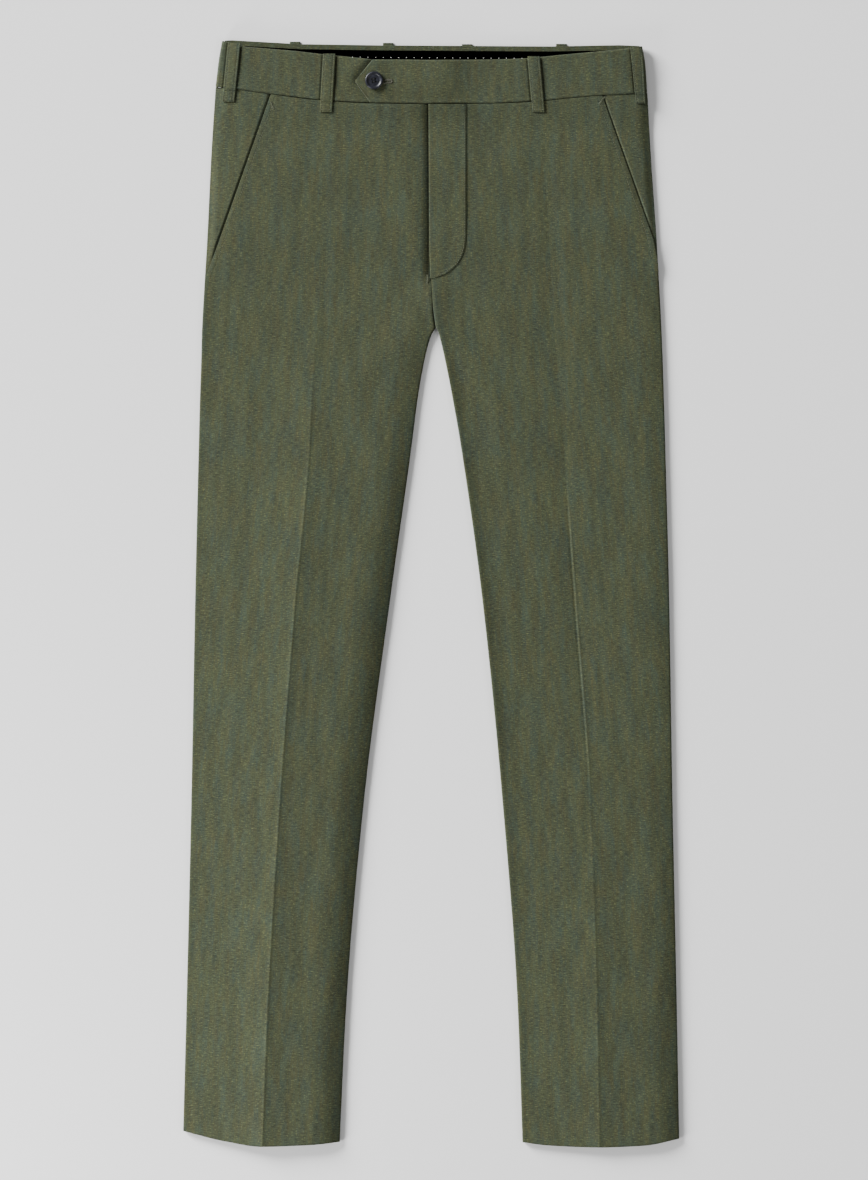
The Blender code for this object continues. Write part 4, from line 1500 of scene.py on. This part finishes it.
def front_loop(name, top, bottom):
    """A belt loop over the waistband, sewn to the front below the waist seam."""
    side = "r" if top[0] < 0.0 else "l"
    (top_x, top_down, top_width), (bottom_x, bottom_down, bottom_width) = top, bottom
    seam = smooth_curve(WAIST_SEAM, 0.5 * (top_x + bottom_x))
    over = seam - 1.5 - top_down
    stations = [(top_down + over * k / 16.0, k / 16.0) for k in range(17)]
    tail = [seam + 1.2, seam + 2.3, seam + 3.4]
    tail += [seam + 3.4 + (bottom_down - seam - 3.4) * k / 5.0 for k in range(1, 6)]
    stations += [(down, 1.0) for down in tail]
    rings = []
    for k, (down, arched) in enumerate(stations):
        share = (down - top_down) / (bottom_down - top_down)
        centre = top_x + (bottom_x - top_x) * share
        half_width = 0.5 * (top_width + (bottom_width - top_width) * share)
        band_share = min((down - top_down) / (seam - top_down), 1.0)
        arch = LOOP_ARCH * math.sin(math.pi * arched) ** 2
        ring = []
        for across, height in loop_profile(half_width):
            x = centre + across
            if down <= seam + 1.2:
                base = band_face(side, x, band_share)
            else:
                base = front_face(side, x, down)
            if k in (0, len(stations) - 1) and height > 0.5:
                height -= 0.35
            ring.append((x, down, base + LOOP_CLEARANCE + arch + height))
        rings.append(ring)
    strip_body(
        name + "_cloth",
        rings,
        name,
    )
    strands = []
    for edge in (-1.0, 1.0):
        path = []
        for k in range(20):
            down = top_down + 1.5 + (bottom_down - top_down - 3.0) * k / 19.0
            share = (down - top_down) / (bottom_down - top_down)
            centre = top_x + (bottom_x - top_x) * share
            half_width = 0.5 * (top_width + (bottom_width - top_width) * share)
            path.append((centre + edge * (half_width - 1.7), down))

        def on_loop(x, down):
            band_share = min((down - top_down) / (seam - top_down), 1.0)
            arched = min(max((down - top_down) / over, 0.0), 1.0)
            arch = LOOP_ARCH * math.sin(math.pi * arched) ** 2
            if down <= seam + 1.2:
                base = band_face(side, x, band_share)
            else:
                base = front_face(side, x, down)
            return base + LOOP_CLEARANCE + arch + LOOP - 0.12

        pitch = bpy.context.scene.trousers_sewing.loop_pitch / MM
        strands += along_path(path, pitch, 0.72, on_loop)
    foot = [(bottom_x - 4.6, bottom_down - 2.4), (bottom_x + 4.6, bottom_down - 2.4)]
    strands += along_path(foot, 1.3, 0.8, on_loop)
    stitches(name + "_stitching", strands, 0.2, thread_finish("thread", thread_colour()))


def thread_colour():
    return tuple(bpy.context.scene.trousers_look.seam_thread)


def back_loop(name, x, top_down):
    """A belt loop under the back, standing a little over the waistband's edge."""
    rings = []
    count = 14
    for k in range(count + 1):
        down = top_down + (BACK_LOOP_END - top_down) * k / count
        ends = 0.25 if k in (0, count) else 0.0
        ring = []
        for across, height in loop_profile(0.5 * BACK_LOOP_WIDTH):
            z = LOOP - height
            if height < 0.2:
                z -= ends
            ring.append((x + across, down, max(z, 0.0)))
        rings.append(ring)
    strip_body(name + "_cloth", rings, name)


class TROUSERS_OT_button(bpy.types.Operator):
    """Make the sew-through button and its thread"""

    bl_idname = "trousers.button"
    bl_label = "Button"

    def execute(self, context):
        x, down = BUTTON_PLACE
        spot = place(x, down, TAB_FACE + GAP)
        points, faces = [], []
        steps = 72
        for radius, height in BUTTON_PROFILE[1:-1]:
            for k in range(steps):
                turn = 2.0 * math.pi * k / steps
                points.append((radius * math.cos(turn), radius * math.sin(turn), height))
        rings = len(BUTTON_PROFILE) - 2
        faces = [
            (i * steps + k, i * steps + (k + 1) % steps, (i + 1) * steps + (k + 1) % steps, (i + 1) * steps + k)
            for i in range(rings - 1)
            for k in range(steps)
        ]
        faces.append(tuple(range(steps)))
        faces.append(tuple(range((rings - 1) * steps, rings * steps)))
        mesh = bpy.data.meshes.new("button_body")
        mesh.from_pydata([Vector(p) * MM + spot for p in points], [], faces)
        bm = bmesh.new()
        bm.from_mesh(mesh)
        bmesh.ops.recalc_face_normals(bm, faces=bm.faces)
        bm.to_mesh(mesh)
        bm.free()
        obj = add_object("button_body", mesh, button_finish())
        cutter_mesh = bpy.data.meshes.new("button_holes")
        bm = bmesh.new()
        for k in range(4):
            angle = math.radians(HOLE_TURN + 90.0 * k)
            reach = HOLE_SPREAD * MM
            made = bmesh.ops.create_cone(
                bm,
                cap_ends=True,
                segments=24,
                radius1=HOLE_RADIUS * MM,
                radius2=HOLE_RADIUS * MM,
                depth=10.0 * MM,
            )
            offset = spot + Vector((reach * math.cos(angle), reach * math.sin(angle), 0.0))
            bmesh.ops.translate(bm, verts=made["verts"], vec=offset)
        bm.to_mesh(cutter_mesh)
        bm.free()
        cutter = bpy.data.objects.new("button_holes", cutter_mesh)
        bpy.context.scene.collection.objects.link(cutter)
        cut = obj.modifiers.new("holes", "BOOLEAN")
        cut.operation = "DIFFERENCE"
        cut.solver = "EXACT"
        cut.object = cutter
        graph = bpy.context.evaluated_depsgraph_get()
        cut_mesh = bpy.data.meshes.new_from_object(obj.evaluated_get(graph))
        obj.modifiers.clear()
        obj.data = cut_mesh
        bpy.data.objects.remove(cutter)
        obj.data.shade_smooth()
        obj.data.set_sharp_from_angle(angle=math.radians(38.0))
        piece(obj, "button", "button")
        button_thread(x, down)
        return {"FINISHED"}


BUTTON_PROFILE = (
    (0.0, 1.8),
    (4.4, 1.8),
    (5.2, 1.68),
    (5.7, 1.66),
    (6.3, 2.0),
    (6.8, 2.4),
    (7.3, 2.68),
    (7.8, 2.72),
    (8.3, 2.55),
    (8.65, 2.25),
    (8.88, 1.85),
    (8.98, 1.4),
    (8.9, 0.95),
    (8.6, 0.5),
    (8.0, 0.18),
    (6.4, 0.0),
    (0.0, 0.0),
)


def button_thread(x, down):
    """Two pairs of strands through the button's holes."""
    strands = []
    top = TAB_FACE + GAP + 1.75
    for first, second in ((0, 1), (2, 3)):
        ends = []
        for k in (first, second):
            angle = math.radians(HOLE_TURN + 90.0 * k)
            ends.append((x + HOLE_SPREAD * math.cos(angle), down - HOLE_SPREAD * math.sin(angle)))
        (ax, ad), (bx, bd) = ends
        for offset in (-0.28, 0.0, 0.28):
            nx, nd = -(bd - ad), (bx - ax)
            length = math.hypot(nx, nd)
            nx, nd = nx / length * offset, nd / length * offset
            strands.append(((ax + nx, ad + nd, top), (bx + nx, bd + nd, top)))
    finish = thread_finish("button_thread", (0.003, 0.003, 0.004))
    stitches("button_thread", strands, 0.13, finish, "button", 0.3)


class TROUSERS_OT_sewing(bpy.types.Operator):
    """Sew the pocket mouths, the fly, the buttonhole and the pick stitches"""

    bl_idname = "trousers.sewing"
    bl_label = "Stitching"

    def execute(self, context):
        sewing = context.scene.trousers_sewing
        pitch = sewing.topstitch_pitch / MM
        radius = sewing.thread / MM
        thread = thread_finish("thread", thread_colour())
        for side, name in (("r", "right"), ("l", "left")):
            inward = -outward(side)
            path = [
                (straight(SLANT[side], down) + inward * TOPSTITCH_IN / 0.94, down)
                for down in [62.0 + 4.0 * k for k in range(40)]
                if down < SLANT[side][-1][0] - 1.0
            ]

            def on_front(x, down, side=side):
                return worn_face(side, x, down) + 0.05

            strands = along_path(path, pitch, 0.7, on_front)
            if side == "l":
                strands += bartack((170.9, 61.0), (-0.6, 0.8), 9.0, 2.2, 16, on_front)
            else:
                strands += bartack((-158.5, 66.0), (0.35, 0.94), 7.0, 2.0, 12, on_front)
            stitches(f"pocket_topstitch_{name}", strands, radius, thread)
        sew_fly(pitch, radius, thread)
        sew_buttonhole(thread)
        sew_picks(sewing.pick_pitch / MM)
        return {"FINISHED"}


def sew_fly(pitch, radius, thread):
    """The J stitch inside the fly's edge and the bartack at its foot."""
    path = []
    for k in range(70):
        t = k / 69.0
        down = 66.0 + (236.6 - 66.0) * (1.0 - (1.0 - t) ** 1.6)
        right = smooth_curve(tuple((row[0], row[2]) for row in FLY_ROWS), down)
        path.append((max(right - 1.6, 1.0), down - (1.2 if down > 226.0 else 0.0)))

    def on_fly(x, down):
        side = "r" if x < leg_x("inner", "r", down) else "l"
        return front_face(side, x, down) + 0.5 * GAP + FLY_STANDS - 0.03

    strands = along_path(path, pitch, 0.7, on_fly)

    def on_cloth(x, down):
        side = "r" if x < leg_x("inner", "r", down) else "l"
        return front_face(side, x, down) + 0.15

    strands += bartack((-3.4, 243.0), (0.0, 1.0), 16.0, 2.0, 26, on_cloth)
    stitches("fly_stitching", strands, radius, thread)


def sew_buttonhole(thread):
    """The end of the buttonhole that shows beyond the button."""
    strands = []
    bx, down = -44.0, 42.0

    def on_tab(x, d):
        return band_face("l", x, 0.5) + band_relief("l", x, 0.5) + 0.05

    for k in range(18):
        x = bx - 4.2 + 8.4 * k / 17.0
        strands.append(((x, down - 2.3, on_tab(x, down)), (x + 0.05, down - 0.25, on_tab(x, down))))
        strands.append(((x, down + 2.3, on_tab(x, down)), (x + 0.05, down + 0.25, on_tab(x, down))))
    for k in range(7):
        turn = math.radians(-75.0 + 25.0 * k)
        c, s = math.cos(turn), math.sin(turn)
        x = bx + 4.2
        a = (x + 0.3 * c, down + 0.3 * s, on_tab(x, down))
        b = (x + 2.2 * c, down + 2.2 * s, on_tab(x, down))
        strands.append((a, b))
    finish = thread_finish("buttonhole_thread", (0.021, 0.021, 0.005))
    stitches("buttonhole", strands, 0.34, finish, "wool", 0.1)


def sew_picks(pitch):
    """White pick stitches along the lining, inside the back of the waistband."""
    top_face = UNDER_LOOPS + BAND + GAP + LINING
    strands = []
    count = int(2.0 * (LINING_HALF_WIDTH - 12.0) / pitch)
    for k in range(count + 1):
        x = -1.4 + pitch * (k - count // 2)
        if abs(x) > LINING_HALF_WIDTH - 8.0:
            continue
        down = straight(BACK_TOP, x) + 12.35
        strands.append(((x - 0.5, down, top_face + 0.1), (x + 0.5, down, top_face + 0.1)))
    look = bpy.context.scene.trousers_look
    finish = thread_finish("pick_thread", tuple(look.pick_thread))
    stitches("pick_stitches", strands, 0.26, finish, "lining", 0.05)


class TROUSERS_OT_stage(bpy.types.Operator):
    """Set the floor, the studio lights and the camera"""

    bl_idname = "trousers.stage"
    bl_label = "Stage"

    def execute(self, context):
        look = context.scene.trousers_look
        mesh = bpy.data.meshes.new("floor")
        bm = bmesh.new()
        bmesh.ops.create_grid(bm, x_segments=8, y_segments=8, size=FLOOR_HALF)
        bm.to_mesh(mesh)
        bm.free()
        made, tree, shader = principled("floor")
        where = node(tree, "ShaderNodeTexCoord").outputs["Object"]
        grain = node(tree, "ShaderNodeTexNoise")
        grain.inputs["Scale"].default_value = 3.0
        tree.links.new(where, grain.inputs["Vector"])
        low = tuple(0.995 * c for c in look.floor)
        shade = blend(tree, grain.outputs["Fac"], (*low, 1.0), (*look.floor, 1.0))
        tree.links.new(shade, shader.inputs["Base Color"])
        shader.inputs["Roughness"].default_value = 0.9
        shader.inputs["Specular IOR Level"].default_value = 0.1
        floor = add_object("floor", mesh, made, "stage")
        floor.location.z = -0.0003
        for name, spot, size, watts in LIGHTS:
            data = bpy.data.lights.new(name, "AREA")
            data.shape = "DISK"
            data.size = size
            data.energy = watts
            lamp = bpy.data.objects.new(name, data)
            lamp.location = spot
            aim = Vector(LIGHT_AIM) - Vector(spot)
            lamp.rotation_euler = aim.to_track_quat("-Z", "Y").to_euler()
            collection("stage").objects.link(lamp)
        world = bpy.data.worlds.new("studio")
        world.use_nodes = True
        world.node_tree.nodes["Background"].inputs["Color"].default_value = (1, 1, 1, 1)
        world.node_tree.nodes["Background"].inputs["Strength"].default_value = SKY
        context.scene.world = world
        data = bpy.data.cameras.new("camera")
        data.lens = CAMERA_LENS
        data.sensor_width = 36.0
        data.clip_end = 50.0
        camera = bpy.data.objects.new("camera", data)
        camera.location = CAMERA_SPOT
        collection("stage").objects.link(camera)
        context.scene.camera = camera
        return {"FINISHED"}


FLOOR_HALF = 6.0
CAMERA_HEIGHT = 6.0
IMAGE_TALL = 1.18  # metres that the frame's long side takes in at the cloth
CAMERA_LENS = 36.0 * CAMERA_HEIGHT / IMAGE_TALL
CAMERA_SPOT = (0.003, 0.0036, CAMERA_HEIGHT + 0.006)
LIGHT_AIM = (0.0, 0.0, 0.0)
SKY = 0.36
# Name, place in metres, diameter in metres, watts.
LIGHTS = (
    ("key", (-6.7, 5.0, 3.2), 4.2, 3180.0),
    ("fill", (3.0, -1.8, 3.5), 2.0, 60.0),
    ("feet", (-1.35, -1.15, 0.52), 0.6, 46.0),
)


# --------------------------------------------------------------------- panel

STEPS = (
    ("panels", "trousers.panels"),
    ("pockets", "trousers.pockets"),
    ("fly", "trousers.fly"),
    ("waistband", "trousers.waistband"),
    ("loops", "trousers.loops"),
    ("button", "trousers.button"),
    ("sewing", "trousers.sewing"),
    ("stage", "trousers.stage"),
)


class VIEW3D_PT_trousers(bpy.types.Panel):
    bl_label = "Wool trousers"
    bl_space_type = "VIEW_3D"
    bl_region_type = "UI"
    bl_category = "Trousers"

    def draw(self, context):
        layout = self.layout
        for _, idname in STEPS:
            layout.operator(idname)
        for group in (context.scene.trousers_sewing, context.scene.trousers_look):
            box = layout.box()
            for name in group.__annotations__:
                box.prop(group, name)


CLASSES = (
    TrousersSewing,
    TrousersLook,
    TROUSERS_OT_panels,
    TROUSERS_OT_pockets,
    TROUSERS_OT_fly,
    TROUSERS_OT_waistband,
    TROUSERS_OT_loops,
    TROUSERS_OT_button,
    TROUSERS_OT_sewing,
    TROUSERS_OT_stage,
    VIEW3D_PT_trousers,
)


def register():
    for cls in CLASSES:
        bpy.utils.register_class(cls)
    bpy.types.Scene.trousers_sewing = PointerProperty(type=TrousersSewing)
    bpy.types.Scene.trousers_look = PointerProperty(type=TrousersLook)


def unregister():
    del bpy.types.Scene.trousers_look
    del bpy.types.Scene.trousers_sewing
    for cls in reversed(CLASSES):
        bpy.utils.unregister_class(cls)


def main():
    register()
    bpy.ops.trousers.panels()
    bpy.ops.trousers.pockets()
    bpy.ops.trousers.fly()
    bpy.ops.trousers.waistband()
    bpy.ops.trousers.loops()
    bpy.ops.trousers.button()
    bpy.ops.trousers.sewing()
    bpy.ops.trousers.stage()


if __name__ == "__main__":
    main()
